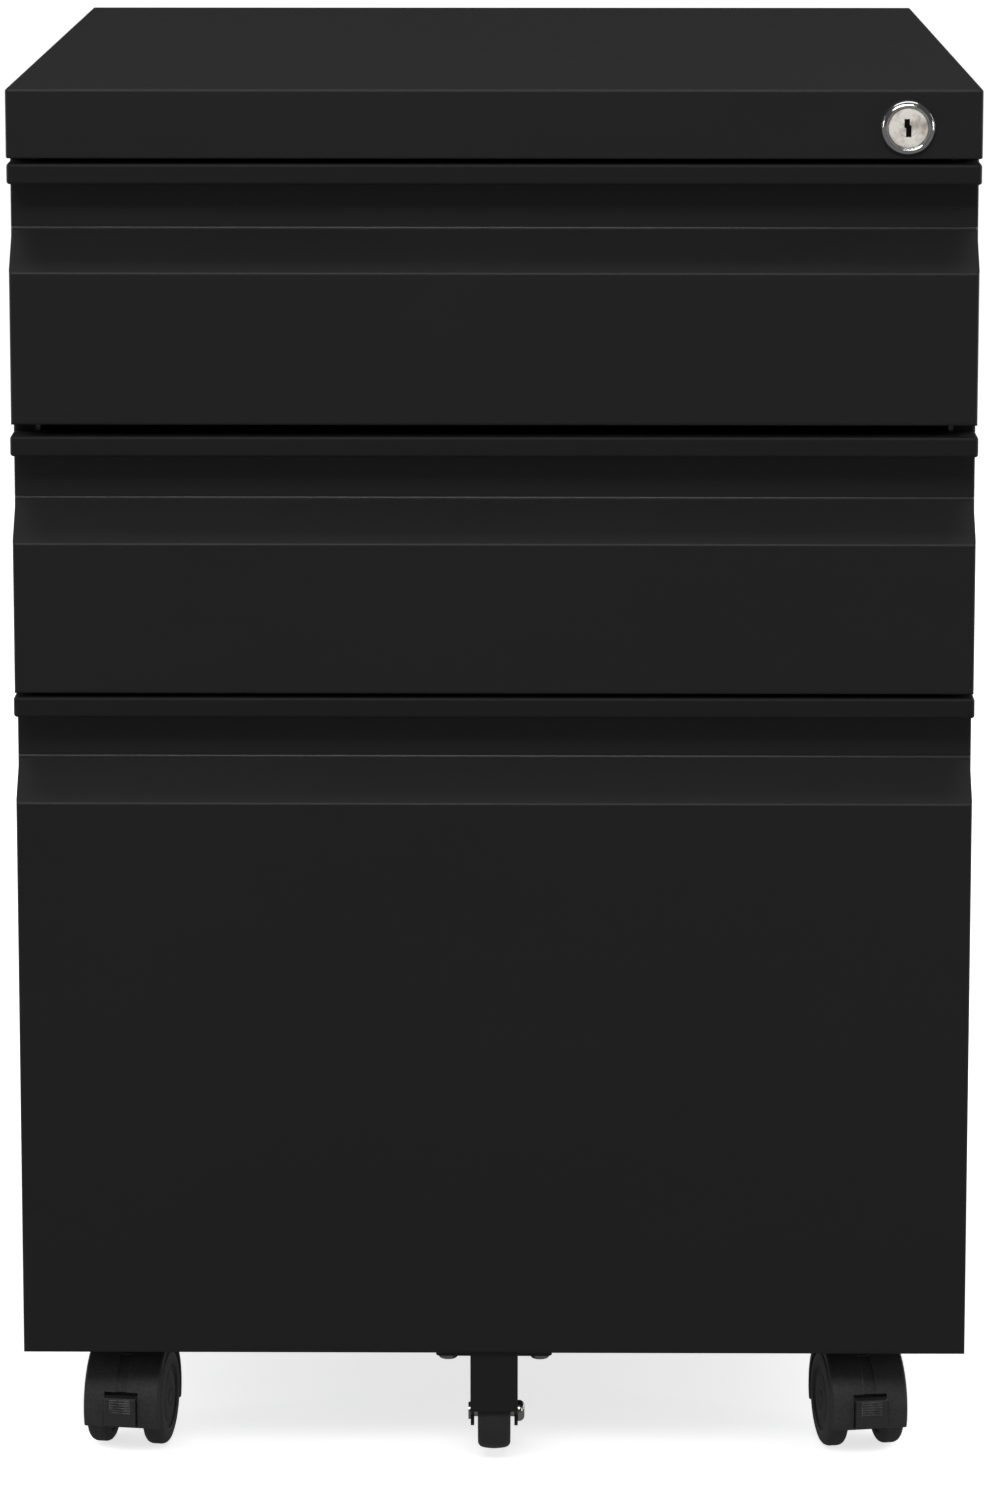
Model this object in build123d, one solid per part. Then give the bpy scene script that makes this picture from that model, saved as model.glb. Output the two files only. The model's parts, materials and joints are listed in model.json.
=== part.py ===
from build123d import *
import os
from dataclasses import dataclass
from math import cos, hypot, radians, sin

# Three-drawer mobile pedestal in folded sheet steel: two box drawers over a file drawer, all on
# ball-bearing slides and locked by one cam lock, on four twin-wheel casters, with a small fixed
# wheel under the file drawer's front that stops the cabinet tipping when that drawer is open.
#
# Frame: the origin is on the floor under the middle of the cabinet, +X to the right of someone
# facing it, +Y from front to back, +Z up. Lengths are millimetres. "Behind" is the distance
# behind the plane of the drawer faces.

# ---- Whole cabinet
CABINET_WIDTH = 390.0
CABINET_DEPTH = 450.0  # drawer faces to the back of the shell
CABINET_HEIGHT = 574.0  # floor to top
SHEET = 0.8  # folded sheet steel
EDGE_RADIUS = 1.2  # outside of a folded edge
SEAM = 0.4  # open joint line between two outer panels

# ---- Top cap and shell
CAP_HEIGHT = 28.0
SHELL_SETBACK = 18.0  # front edge of the shell, behind the faces
SHELL_RETURN = 9.0  # flange turned in at the shell's front edges
UPRIGHT_DEPTH = 10.0  # how far a post stands in from the side panel
UPRIGHT_WIDTH = 30.0
UPRIGHT_WALL = 1.0
PAN_WALL = 1.0
PAN_FLANGE = 20.0
PAN_FRONT_LIP = 5.0

# ---- Drawer fronts
BASE_RISE = 3.0  # the shell and base pan end this far above the file drawer's front
BOX_FRONT_HEIGHT = 105.5
GAP_UNDER_CAP = 2.0
GAP_BETWEEN_BOXES = 4.5
GAP_OVER_FILE = 1.5
FRONT_INSET = 0.6  # a front's sides stand in from the cabinet's
PULL_INSET = 0.1
RECESS_DEPTH = 16.0  # finger recess behind the faces
RECESS_TO_CREASE = 27.5  # top of the front to the crease where the slope starts
RECESS_TO_FACE = 44.0  # top of the front to the top of the flat face
BACK_WINDOW_MARGIN_X = 54.0
BACK_WINDOW_MARGIN_Z = 12.0

# ---- Pull strip along the top of each front
PULL_HEIGHT = 8.4
PULL_TOP = 2.0
PULL_LIP = 3.0
PULL_BACK = 1.2
PULL_END = 2.5
PULL_CORNER = 1.8

# ---- Drawer trays
BOX_TRAY_LIFT = 8.5  # front's lowest edge to the tray's underside
BOX_TRAY_HEIGHT = 81.0
FILE_TRAY_LIFT = 16.0
FILE_TRAY_DROP = 24.0  # front's top edge to the top of the file tray
TRAY_REAR_SPACE = 26.0
TRAY_HEM = 5.0
BOX_SLIDE_LIFT = 26.0  # tray's underside to the middle of its slides
FILE_SLIDE_LIFT = 96.0
CATCH_REACH = 8.5  # out from the tray's side
CATCH_HEIGHT = 7.0
CATCH_THICK = 1.0
CATCH_FOOT = 10.0  # of the flange welded to the tray
CATCH_OVER_SLIDE = 4.0
CATCH_PLAY = 1.2  # behind the lock bar

# ---- Screws
SCREW_RADIUS = 2.0
SCREW_HEAD_RADIUS = 4.0
SCREW_HEAD_HEIGHT = 2.4
SCREW_HOLE_PLAY = 0.1
SCREW_INSET = 16.5  # in from the tray's sides
SCREW_FROM_EDGE = 16.0  # from the tray's top and bottom
SCREW_UNDER_CREASE = 8.0
SCREW_GRIP = 4.0  # past the sheets that it holds
CROSS_LENGTH = 4.0
CROSS_WIDTH = 0.9
CROSS_DEPTH = 1.2

# ---- Ball-bearing slides
SLIDE_SPACE = 12.7  # post to tray
SLIDE_HEIGHT = 45.0
SLIDE_WALL = 1.2
SLIDE_START = 20.0  # behind the faces
SLIDE_REAR_SPACE = 30.0
SLIDE_KEEP = 20.0  # travel is this much less than the slide's length
BALL_RADIUS = 1.5
BALL_PLAY = 0.1
CAGE_WALL = 0.5
CAGE_MARGIN = 15.0
CAGE_BALLS = 4
OUTER_TIP = 10.5  # flange tips and webs, in from the post
MIDDLE_WEB = 2.4
MIDDLE_TIP = 11.2
INNER_TIP = 5.2
OUTER_CAGE_WEB = 1.55
OUTER_CAGE_TIP = 10.0
INNER_CAGE_WEB = 4.05
INNER_CAGE_TIP = 11.0
OUTER_BALL = 6.0
INNER_BALL = 8.0

# ---- Hanging-file rails
RAIL_SPACING = 318.0  # clear width between the rails
RAIL_THICK = 3.0
RAIL_HEIGHT = 11.0
RAIL_OVER_WALL = 1.4
RAIL_HOOK = 2.5
RAIL_PLAY = 0.2

# ---- Cam lock
LOCK_FROM_SIDE = 30.0
LOCK_FROM_TOP = 15.4
BEZEL_RADIUS = 11.0
BEZEL_PROUD = 3.0
BARREL_RADIUS = 9.5
BARREL_LENGTH = 22.0
PLUG_RADIUS = 8.0
PLUG_PLAY = 0.05
PLUG_SHY = 0.6  # plug face behind the bezel's rim
PLUG_PAST_BARREL = 2.0
PLUG_DISC_RADIUS = 3.5
PLUG_DISC_PROUD = 0.4
KEYWAY_WIDTH = 2.6
KEYWAY_HEIGHT = 7.3
KEYWAY_DEPTH = 8.0
LOCK_NUT_FLATS = 21.0
LOCK_NUT_THICK = 4.0
CAM_POST_RADIUS = 4.0
CAM_WALL = 1.5
CAM_HUB_RADIUS = 7.0
CAM_NUT_RADIUS = 6.0
CAM_NUT_THICK = 2.0
CAM_PIN_RADIUS = 1.5
CAM_THROW = 8.0  # pin's distance from the plug's axis
CAM_REST_ANGLE = 45.0  # pin above the horizontal when unlocked, and below it when locked
CAM_TIP_RADIUS = 3.5

# ---- Lock bar
BAR_BEHIND = 30.0
BAR_THICK = 2.0
BAR_WIDTH = 6.0
BAR_FROM_SHELL = 1.7  # off the side panel's inside
LUG_REACH = 10.5
ARM_HALF_HEIGHT = 5.0
ARM_PAST_SLOT = 2.5
SLOT_PLAY = 0.6
WEB_SLOT_PLAY = 0.7
GUIDE_THICK = 4.0
GUIDE_WIDTH = 10.0
GUIDE_PLAY = 0.2
GUIDE_UNDER_LUG = 6.0
BAR_PAST_GUIDE = 6.0

# ---- Casters
CASTER_FROM_SIDE = 45.0
CASTER_FRONT = 56.0  # swivel axis behind the faces
CASTER_REAR = 56.0  # swivel axis before the cabinet's back
CASTER_TRAIL = 16.0
CASTER_TURNS = {"front_left": -8.5, "front_right": 10.0}  # degrees from straight, as they stand
WHEEL_RADIUS = 20.0
WHEEL_WIDTH = 8.9
WHEEL_GAP = 15.2
WHEEL_OUTER_ROUND = 3.0
WHEEL_INNER_ROUND = 2.0
WHEEL_DISH_RADIUS = 13.0
WHEEL_DISH_DEPTH = 1.2
WHEEL_CAP_WALL = 2.5
AXLE_RADIUS = 2.5
AXLE_PLAY = 0.05
AXLE_END_PLAY = 0.3
HOOD_WIDTH = 32.0
HOOD_WALL = 3.0
HOOD_PLAY = 1.0
HOOD_LOW = 13.0
HOOD_TO_COLLAR = 4.0
HOOD_HEADROOM = 6.5  # top of the hood's round to the underside of the stem's collar
HOOD_ROUND = 1.2
WEB_SIDE_PLAY = 0.75
BOSS_RADIUS = 9.0
STEM_RADIUS = 4.0
STEM_PLAY = 0.05
STEM_DEPTH = 15.5  # of the stem in its boss
COLLAR_RADIUS = 9.0
COLLAR_THICK = 3.5
STEM_NUT_FLATS = 13.0
STEM_NUT_THICK = 5.0
STEM_PAST_NUT = 1.5

# ---- Brake levers on the front casters
LEVER_WIDTH = 13.4
LEVER_SIDE_PLAY = 0.4
LEVER_THICK = 3.0
LEVER_PROUD = 2.3  # past the hood
LEVER_LOW = 14.4
LEVER_RIM = 0.7  # of the hood left under its window
LEVER_PIVOT_ANGLE = 12.0  # above the horizontal through the axle
LEVER_KNUCKLE = 1.8
LEVER_PIN_RADIUS = 0.9
LEVER_PIN_REACH = 1.6
LEVER_SLOT_HEAD = 3.3
LEVER_RIBS = 6
LEVER_RIB_PITCH = 1.06
LEVER_RIB_WIDTH = 0.5
LEVER_RIB_PROUD = 0.4
GROOVE_WIDTH = 5.0  # up the hood's front, over its window
GROOVE_DEPTH = 0.6
GROOVE_TOP = 41.0

# ---- Anti-tip wheel under the file drawer's front
TIP_PLATE_WIDTH = 48.0
TIP_PLATE_START = 3.0
TIP_PLATE_DEPTH = 31.0
TIP_PLATE_THICK = 2.0
TIP_WHEEL_RADIUS = 15.7
TIP_WHEEL_WIDTH = 13.5
TIP_WHEEL_ROUND = 1.6
TIP_WHEEL_CLEAR = 3.9  # above the floor
TIP_WHEEL_TO_WEB = 1.0
TIP_AXLE_RADIUS = 2.5
TIP_FORK_WIDTH = 19.6
TIP_FORK_WALL = 1.4
TIP_FORK_END = 6.2
TIP_FORK_HALF_TOP = 10.0
TIP_WEB_HEIGHT = 24.0  # of the fork's front, under the plate
TIP_HEAD_RADIUS = 4.4
TIP_HEAD_PROUD = 2.8
TIP_HEAD_ROUND = 2.24
TIP_RIVET_RADIUS = 3.6
TIP_RIVET_PROUD = 1.0
TIP_SCREW_SPACING = 38.0
TIP_SCREW_BEHIND = 9.0

# ---- Places that follow from the sizes above
CUT = 1.0  # how far a cutting solid runs past the face that it opens
HALF_WIDTH = CABINET_WIDTH / 2
FACE_Y = -(CABINET_DEPTH - BEZEL_PROUD) / 2
BACK_Y = FACE_Y + CABINET_DEPTH
HOOD_RADIUS = WHEEL_RADIUS + HOOD_PLAY + HOOD_WALL
BASE_Z = WHEEL_RADIUS + HOOD_RADIUS + HOOD_HEADROOM + COLLAR_THICK
FRONT_BASE = BASE_Z - BASE_RISE  # the lowest edge of the file drawer's front
HOOD_HIGH = BASE_Z - COLLAR_THICK - HOOD_TO_COLLAR
STEM_LOW = HOOD_HIGH - STEM_DEPTH
CAP_Z = CABINET_HEIGHT - CAP_HEIGHT
SHELL_INNER_X = HALF_WIDTH - SHEET
POST_X = SHELL_INNER_X - UPRIGHT_DEPTH
TRAY_X = POST_X - SLIDE_SPACE
FRONT_BACK = RECESS_DEPTH + SHEET
SLIDE_LENGTH = CABINET_DEPTH - SLIDE_START - SLIDE_REAR_SPACE
DRAWER_TRAVEL = SLIDE_LENGTH - SLIDE_KEEP
CAGE_LENGTH = SLIDE_LENGTH - DRAWER_TRAVEL / 2 - 2 * CAGE_MARGIN
OUTER_HALF = SLIDE_HEIGHT / 2
MIDDLE_HALF = OUTER_HALF - SLIDE_WALL - 2 * (BALL_RADIUS + BALL_PLAY)
INNER_HALF = MIDDLE_HALF - SLIDE_WALL - 2 * (BALL_RADIUS + BALL_PLAY)
LOCK_X = HALF_WIDTH - LOCK_FROM_SIDE
LOCK_Z = CABINET_HEIGHT - LOCK_FROM_TOP
PIN_DX = CAM_THROW * cos(radians(CAM_REST_ANGLE))
PIN_DZ = CAM_THROW * sin(radians(CAM_REST_ANGLE))
BAR_STROKE = 2 * PIN_DZ
BAR_X1 = SHELL_INNER_X - BAR_FROM_SHELL
BAR_X0 = BAR_X1 - BAR_WIDTH
CATCH_BEHIND = BAR_BEHIND + BAR_THICK + CATCH_PLAY
CASTER_X = HALF_WIDTH - CASTER_FROM_SIDE


@dataclass(frozen=True)
class Drawer:
    """Heights of one drawer, from the floor."""

    number: int
    bottom: float
    top: float
    tray_bottom: float
    tray_top: float
    slide_z: float

    @property
    def catch_z(self):
        """Lower edge of the latch tab, which stands just above the slide."""
        return self.slide_z + OUTER_HALF + CATCH_OVER_SLIDE


def drawers():
    """The three drawers, top to bottom; the file drawer takes the height that is left."""
    top_1 = CAP_Z - GAP_UNDER_CAP
    top_2 = top_1 - BOX_FRONT_HEIGHT - GAP_BETWEEN_BOXES
    top_3 = top_2 - BOX_FRONT_HEIGHT - GAP_OVER_FILE
    rows = []
    for number, top in ((1, top_1), (2, top_2)):
        bottom = top - BOX_FRONT_HEIGHT
        tray = bottom + BOX_TRAY_LIFT
        rows.append(Drawer(number, bottom, top, tray, tray + BOX_TRAY_HEIGHT, tray + BOX_SLIDE_LIFT))
    tray = FRONT_BASE + FILE_TRAY_LIFT
    rows.append(Drawer(3, FRONT_BASE, top_3, tray, top_3 - FILE_TRAY_DROP, tray + FILE_SLIDE_LIFT))
    return rows


def behind(distance):
    """Y of a plane this far behind the drawer faces."""
    return FACE_Y + distance


def block(x0, x1, y0, y1, z0, z1):
    """Box between two limits on each axis."""
    middle = Pos((x0 + x1) / 2, (y0 + y1) / 2, (z0 + z1) / 2)
    return middle * Box(x1 - x0, y1 - y0, z1 - z0)


def rod_x(radius, x0, x1, y, z):
    """Cylinder along X."""
    return Pos((x0 + x1) / 2, y, z) * Rot(0, 90, 0) * Cylinder(radius, x1 - x0)


def rod_y(radius, y0, y1, x, z):
    """Cylinder along Y."""
    return Pos(x, (y0 + y1) / 2, z) * Rot(90, 0, 0) * Cylinder(radius, y1 - y0)


def rod_z(radius, z0, z1, x, y):
    """Cylinder along Z."""
    return Pos(x, y, (z0 + z1) / 2) * Cylinder(radius, z1 - z0)


def hex_z(flats, z0, z1, x, y):
    """Hexagonal prism along Z."""
    return Pos(x, y, z0) * extrude(RegularPolygon(flats / 2, 6, major_radius=False), z1 - z0)


def hex_y(flats, y0, y1, x, z):
    """Hexagonal prism along Y with flats above and below."""
    plane = Plane(origin=(x, y0, z), x_dir=(1, 0, 0), z_dir=(0, 1, 0))
    return extrude(plane * RegularPolygon(flats / 2, 6, major_radius=False), y1 - y0)


def side_prism(points, x0, x1):
    """Prism along X whose outline is a list of (y, z) points."""
    plane = Plane(origin=(x0, 0, 0), x_dir=(0, 1, 0), z_dir=(1, 0, 0))
    return extrude(plane * make_face(Polyline(*points, close=True)), x1 - x0)


def rounded(solid, edges, radius):
    """Solid with the given edges rounded."""
    return fillet(edges, radius) if edges else solid


def edges_at(solid, axis, **limits):
    """Straight edges along an axis whose middle has the given x, y or z."""
    found = []
    for edge in solid.edges().filter_by(axis):
        middle = edge.center()
        place = {"x": middle.X, "y": middle.Y, "z": middle.Z}
        if all(abs(abs(place[k]) - abs(v)) < 1e-4 for k, v in limits.items()):
            found.append(edge)
    return found


def both_sides(solid):
    """A right-hand piece and its mirror image on the left."""
    return [solid, mirror(solid, about=Plane.YZ)]


# ---- Cabinet

def cabinet_shell():
    """Side panels and back in one wrapped sheet, with flanges turned in at the front."""
    front = behind(SHELL_SETBACK)
    top = CAP_Z - SEAM
    body = block(-HALF_WIDTH, HALF_WIDTH, front, BACK_Y, BASE_Z, top)
    body = rounded(body, edges_at(body, Axis.Z, x=HALF_WIDTH), EDGE_RADIUS)
    body -= block(-SHELL_INNER_X, SHELL_INNER_X, front + SHEET, BACK_Y - SHEET, BASE_Z - CUT, top + CUT)
    mouth = HALF_WIDTH - SHELL_RETURN
    return body - block(-mouth, mouth, front - CUT, front + SHEET + CUT, BASE_Z - CUT, top + CUT)


def top_cap():
    """Pan turned down all round, closed underneath in front of the shell, with the lock's hole."""
    cap = block(-HALF_WIDTH, HALF_WIDTH, FACE_Y, BACK_Y, CAP_Z, CABINET_HEIGHT)
    cap = rounded(cap, edges_at(cap, Axis.Z, x=HALF_WIDTH), EDGE_RADIUS)
    rim = cap.faces().sort_by(Axis.Z)[-1].edges()
    cap = fillet(rim, EDGE_RADIUS)
    front_low = [e for e in cap.edges().filter_by(Axis.X) if abs(e.center().Z - CAP_Z) < 1e-4]
    cap = fillet([e for e in front_low if e.center().Y < 0], SHEET)
    inner_back = BACK_Y - SHEET
    top = CABINET_HEIGHT - SHEET
    cap -= block(-SHELL_INNER_X, SHELL_INNER_X, behind(SHEET), inner_back, CAP_Z + SHEET, top)
    cap -= block(-SHELL_INNER_X, SHELL_INNER_X, behind(SHELL_SETBACK), inner_back, CAP_Z - CUT, top)
    hole = BARREL_RADIUS + PLUG_PLAY
    return cap - rod_y(hole, FACE_Y - CUT, behind(SHEET) + CUT, LOCK_X, LOCK_Z)


def base_pan():
    """Floor of the cabinet, turned up round its edges, with a hole for each caster stem."""
    x1, y0, y1 = SHELL_INNER_X, behind(SHELL_SETBACK + SHEET), BACK_Y - SHEET
    floor = BASE_Z + PAN_WALL
    pan = block(-x1, x1, y0, y1, BASE_Z, BASE_Z + PAN_FLANGE)
    pan -= block(-x1 + PAN_WALL, x1 - PAN_WALL, y0 + PAN_WALL, y1 - PAN_WALL, floor, floor + PAN_FLANGE)
    lip = BASE_Z + PAN_FRONT_LIP
    pan -= block(-x1 + PAN_WALL, x1 - PAN_WALL, y0 - CUT, y0 + PAN_WALL + CUT, lip, lip + PAN_FLANGE)
    for x, y in caster_places().values():
        pan -= rod_z(STEM_RADIUS + SCREW_HOLE_PLAY, BASE_Z - CUT, floor + CUT, x, y)
    return pan


def post(start):
    """Right-hand channel-section post; start is its front edge, behind the faces."""
    y0, y1 = behind(start), behind(start + UPRIGHT_WIDTH)
    z0, z1 = BASE_Z + PAN_FLANGE, CABINET_HEIGHT - SHEET
    body = block(POST_X, SHELL_INNER_X, y0, y1, z0, z1)
    inner = POST_X + UPRIGHT_WALL
    return body - block(inner, SHELL_INNER_X + CUT, y0 + UPRIGHT_WALL, y1 - UPRIGHT_WALL, z0 - CUT, z1 + CUT)


def uprights():
    """Four posts; the front right one is slotted for the lock bar's lugs and arm."""
    front = post(SHELL_SETBACK + SHEET)
    rear = post(SLIDE_START + SLIDE_LENGTH - UPRIGHT_WIDTH)
    y0 = behind(BAR_BEHIND - WEB_SLOT_PLAY)
    y1 = behind(BAR_BEHIND + BAR_THICK + WEB_SLOT_PLAY)
    slotted = front
    for row in drawers():
        low = row.catch_z - WEB_SLOT_PLAY
        high = row.catch_z + CATCH_HEIGHT + BAR_STROKE + WEB_SLOT_PLAY
        slotted -= block(POST_X - CUT, POST_X + UPRIGHT_WALL + CUT, y0, y1, low, high)
    reach = PIN_DZ + ARM_HALF_HEIGHT + WEB_SLOT_PLAY
    slotted -= block(POST_X - CUT, POST_X + UPRIGHT_WALL + CUT, y0, y1, LOCK_Z - reach, LOCK_Z + reach)
    return [slotted, mirror(front, about=Plane.YZ), *both_sides(rear)]


# ---- Slides

def channel(web, tip, half_height, wall, length, start, height):
    """Right-hand C-section along Y; web and tip are distances in from the post's face."""
    x_web, x_tip = POST_X - web, POST_X - tip
    low, high = min(x_web, x_tip), max(x_web, x_tip)
    y0, y1 = behind(start), behind(start + length)
    body = block(low, high, y0, y1, height - half_height, height + half_height)
    inner = half_height - wall
    if x_web > x_tip:
        hollow = (low - CUT, high - wall)
    else:
        hollow = (low + wall, high + CUT)
    return body - block(*hollow, y0 - CUT, y1 + CUT, height - inner, height + inner)


def slide_outer(row):
    """Members fixed to the posts."""
    return both_sides(channel(0, OUTER_TIP, OUTER_HALF, SLIDE_WALL, SLIDE_LENGTH, SLIDE_START, row.slide_z))


def slide_middle(row):
    """Members that travel half as far as the drawer."""
    member = channel(MIDDLE_WEB, MIDDLE_TIP, MIDDLE_HALF, SLIDE_WALL, SLIDE_LENGTH, SLIDE_START, row.slide_z)
    return both_sides(member)


def slide_inner(row):
    """Members fixed to the tray."""
    member = channel(SLIDE_SPACE, INNER_TIP, INNER_HALF, SLIDE_WALL, SLIDE_LENGTH, SLIDE_START, row.slide_z)
    return both_sides(member)


def ball_cage(row, web, tip, ball_in, track_half):
    """Thin channel that spaces two rows of balls, and its balls, on both sides."""
    ball_z = track_half - SLIDE_WALL - BALL_RADIUS - BALL_PLAY
    start = SLIDE_START + (SLIDE_LENGTH - CAGE_LENGTH) / 2
    cage = channel(web, tip, ball_z + CAGE_WALL / 2, CAGE_WALL, CAGE_LENGTH, start, row.slide_z)
    pitch = CAGE_LENGTH / CAGE_BALLS
    x = POST_X - ball_in
    balls = []
    for index in range(CAGE_BALLS):
        y = behind(start + pitch * (index + 0.5))
        for z in (row.slide_z - ball_z, row.slide_z + ball_z):
            cage -= rod_z(BALL_RADIUS + BALL_PLAY, z - CAGE_WALL, z + CAGE_WALL, x, y)
            balls.append(Pos(x, y, z) * Sphere(BALL_RADIUS))
    return [piece for solid in (cage, *balls) for piece in both_sides(solid)]


def outer_cage(row):
    """Cage between the outer and middle members."""
    return ball_cage(row, OUTER_CAGE_WEB, OUTER_CAGE_TIP, OUTER_BALL, OUTER_HALF)


def inner_cage(row):
    """Cage between the middle and inner members."""
    return ball_cage(row, INNER_CAGE_WEB, INNER_CAGE_TIP, INNER_BALL, MIDDLE_HALF)


# ---- Drawers

def screw_places(row):
    """(x, z) of the four screws that hold a tray to its front."""
    x = TRAY_X - SCREW_INSET
    low, high = row.tray_bottom + SCREW_FROM_EDGE, row.tray_top - SCREW_FROM_EDGE
    low_edge = row.bottom + SCREW_FROM_EDGE
    high_edge = row.top - RECESS_TO_CREASE - SCREW_UNDER_CREASE
    return [(side * x, z) for side in (-1, 1) for z in (max(low, low_edge), min(high, high_edge))]


def drawer_front(row):
    """Hollow folded front: flat face, slope and finger recess, and a back with a window in it."""
    half = HALF_WIDTH - FRONT_INSET
    crease, face_top = row.top - RECESS_TO_CREASE, row.top - RECESS_TO_FACE
    rise, run = crease - face_top, RECESS_DEPTH
    outline = [(FACE_Y, row.bottom), (FACE_Y, face_top), (behind(RECESS_DEPTH), crease)]
    outline += [(behind(RECESS_DEPTH), row.top - PULL_TOP), (behind(FRONT_BACK), row.top - PULL_TOP)]
    outline += [(behind(FRONT_BACK), row.bottom)]
    body = side_prism(outline, -half, half)
    corners = edges_at(body, Axis.Z, x=half, y=FACE_Y)
    corners += [e for e in body.edges().filter_by(Axis.X) if abs(e.center().Y - FACE_Y) < 1e-4]
    body = rounded(body, corners, EDGE_RADIUS)
    drop = SHEET * hypot(rise, run) / run
    inside = [(behind(SHEET), row.bottom + SHEET), (behind(SHEET), face_top + SHEET * rise / run - drop)]
    inside += [(behind(RECESS_DEPTH), crease - drop), (behind(RECESS_DEPTH), row.bottom + SHEET)]
    body -= side_prism(inside, -half + SHEET, half - SHEET)
    window = half - BACK_WINDOW_MARGIN_X
    low, high = row.bottom + BACK_WINDOW_MARGIN_Z, crease - drop - BACK_WINDOW_MARGIN_Z
    body -= block(-window, window, behind(RECESS_DEPTH) - CUT, behind(FRONT_BACK) + CUT, low, high)
    hole = SCREW_RADIUS + SCREW_HOLE_PLAY
    for x, z in screw_places(row):
        body -= rod_y(hole, behind(RECESS_DEPTH) - CUT, behind(FRONT_BACK) + CUT, x, z)
    if row.number == 3:
        for x in (-TIP_SCREW_SPACING / 2, TIP_SCREW_SPACING / 2):
            body -= rod_z(hole, row.bottom - CUT, row.bottom + SHEET + CUT, x, behind(TIP_SCREW_BEHIND))
    return body


def drawer_pull(row):
    """Channel strip along the top of a front, closed at its ends; fingers hook behind its lip."""
    half = HALF_WIDTH - PULL_INSET
    low = row.top - PULL_HEIGHT
    body = block(-half, half, FACE_Y, behind(RECESS_DEPTH), low, row.top)
    body = rounded(body, edges_at(body, Axis.Z, x=half, y=FACE_Y), PULL_CORNER)
    body = fillet(body.faces().sort_by(Axis.Y)[0].edges(), EDGE_RADIUS)
    inner = half - PULL_END
    y0, y1 = behind(PULL_LIP), behind(RECESS_DEPTH - PULL_BACK)
    body -= block(-inner, inner, y0, y1, low - CUT, row.top - PULL_TOP)
    ledge = HALF_WIDTH - FRONT_INSET
    return body + block(-ledge, ledge, behind(RECESS_DEPTH), behind(FRONT_BACK), row.top - PULL_TOP, row.top)


def tray_limits(row):
    """Y of the outside of a tray's front and back walls."""
    return behind(FRONT_BACK), behind(CABINET_DEPTH - TRAY_REAR_SPACE)


def drawer_tray(row):
    """Open tray: a floor, a front and a back wall, and two hemmed sides, welded edge to edge."""
    y0, y1 = tray_limits(row)
    x, low, high = TRAY_X - SHEET, row.tray_bottom + SHEET, row.tray_top
    floor = block(-TRAY_X, TRAY_X, y0, y1, row.tray_bottom, low)
    front = block(-x, x, y0, y0 + SHEET, low, high)
    for screw_x, z in screw_places(row):
        front -= rod_y(SCREW_RADIUS + SCREW_HOLE_PLAY, y0 - CUT, y0 + SHEET + CUT, screw_x, z)
    back = block(-x, x, y1 - SHEET, y1, low, high)
    side = block(x, TRAY_X, y0, y1, low, high)
    side += block(x - TRAY_HEM, x, y0 + SHEET, y1 - SHEET, high - SHEET, high)
    return [floor, front, back, *both_sides(side)]


def drawer_catch(row):
    """Small angle welded to the tray's right side, just behind the lock bar, which stops it when locked."""
    y0, z0 = behind(CATCH_BEHIND), row.catch_z
    z1 = z0 + CATCH_HEIGHT
    angle = block(TRAY_X, TRAY_X + CATCH_REACH, y0, y0 + CATCH_THICK, z0, z1)
    return angle + block(TRAY_X, TRAY_X + CATCH_THICK, y0, y0 + CATCH_FOOT, z0, z1)


def pan_screw(grip):
    """Cross-recessed pan-head screw with its seat at the origin and its shank along -Z."""
    head = rod_z(SCREW_HEAD_RADIUS, 0, SCREW_HEAD_HEIGHT, 0, 0)
    head = fillet(head.edges().sort_by(Axis.Z)[-1], SCREW_HEAD_HEIGHT / 2)
    half = CROSS_LENGTH / 2
    low, high = SCREW_HEAD_HEIGHT - CROSS_DEPTH, SCREW_HEAD_HEIGHT + CUT
    head -= block(-half, half, -CROSS_WIDTH / 2, CROSS_WIDTH / 2, low, high)
    head -= block(-CROSS_WIDTH / 2, CROSS_WIDTH / 2, -half, half, low, high)
    return head + rod_z(SCREW_RADIUS, -grip, CUT / 2, 0, 0)


def drawer_screws(row):
    """Screws from inside the tray into its front; the file drawer's also hold its anti-tip wheel."""
    y = tray_limits(row)[0] + SHEET
    pointing_front = Rot(-90, 0, 0)
    grip = 2 * SHEET + SCREW_GRIP
    screws = [Pos(x, y, z) * pointing_front * pan_screw(grip) for x, z in screw_places(row)]
    if row.number == 3:
        seat = FRONT_BASE - TIP_PLATE_THICK
        for x in (-TIP_SCREW_SPACING / 2, TIP_SCREW_SPACING / 2):
            place = Pos(x, behind(TIP_SCREW_BEHIND), seat) * Rot(180, 0, 0)
            screws.append(place * pan_screw(TIP_PLATE_THICK + SHEET + SCREW_GRIP))
    return screws


def file_rails(row):
    """Two rails for hanging files: each rests on the front wall and hooks over the back wall."""
    y0, y1 = tray_limits(row)
    low, high = row.tray_top - RAIL_HEIGHT + RAIL_OVER_WALL, row.tray_top + RAIL_OVER_WALL
    x0 = RAIL_SPACING / 2
    rail = block(x0, x0 + RAIL_THICK, y0, y1 + RAIL_HOOK, low, high)
    front_wall = y0 + SHEET + RAIL_PLAY
    rail -= block(x0 - CUT, x0 + RAIL_THICK + CUT, y0 - CUT, front_wall, low - CUT, row.tray_top)
    back_wall = y1 - SHEET - RAIL_PLAY
    rail -= block(x0 - CUT, x0 + RAIL_THICK + CUT, back_wall, y1 + RAIL_PLAY, low - CUT, row.tray_top)
    return both_sides(rail)


# ---- Anti-tip wheel

TIP_AXLE_Z = TIP_WHEEL_CLEAR + TIP_WHEEL_RADIUS
TIP_AXLE_BEHIND = TIP_PLATE_START + TIP_FORK_WALL + TIP_WHEEL_TO_WEB + TIP_WHEEL_RADIUS


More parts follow.
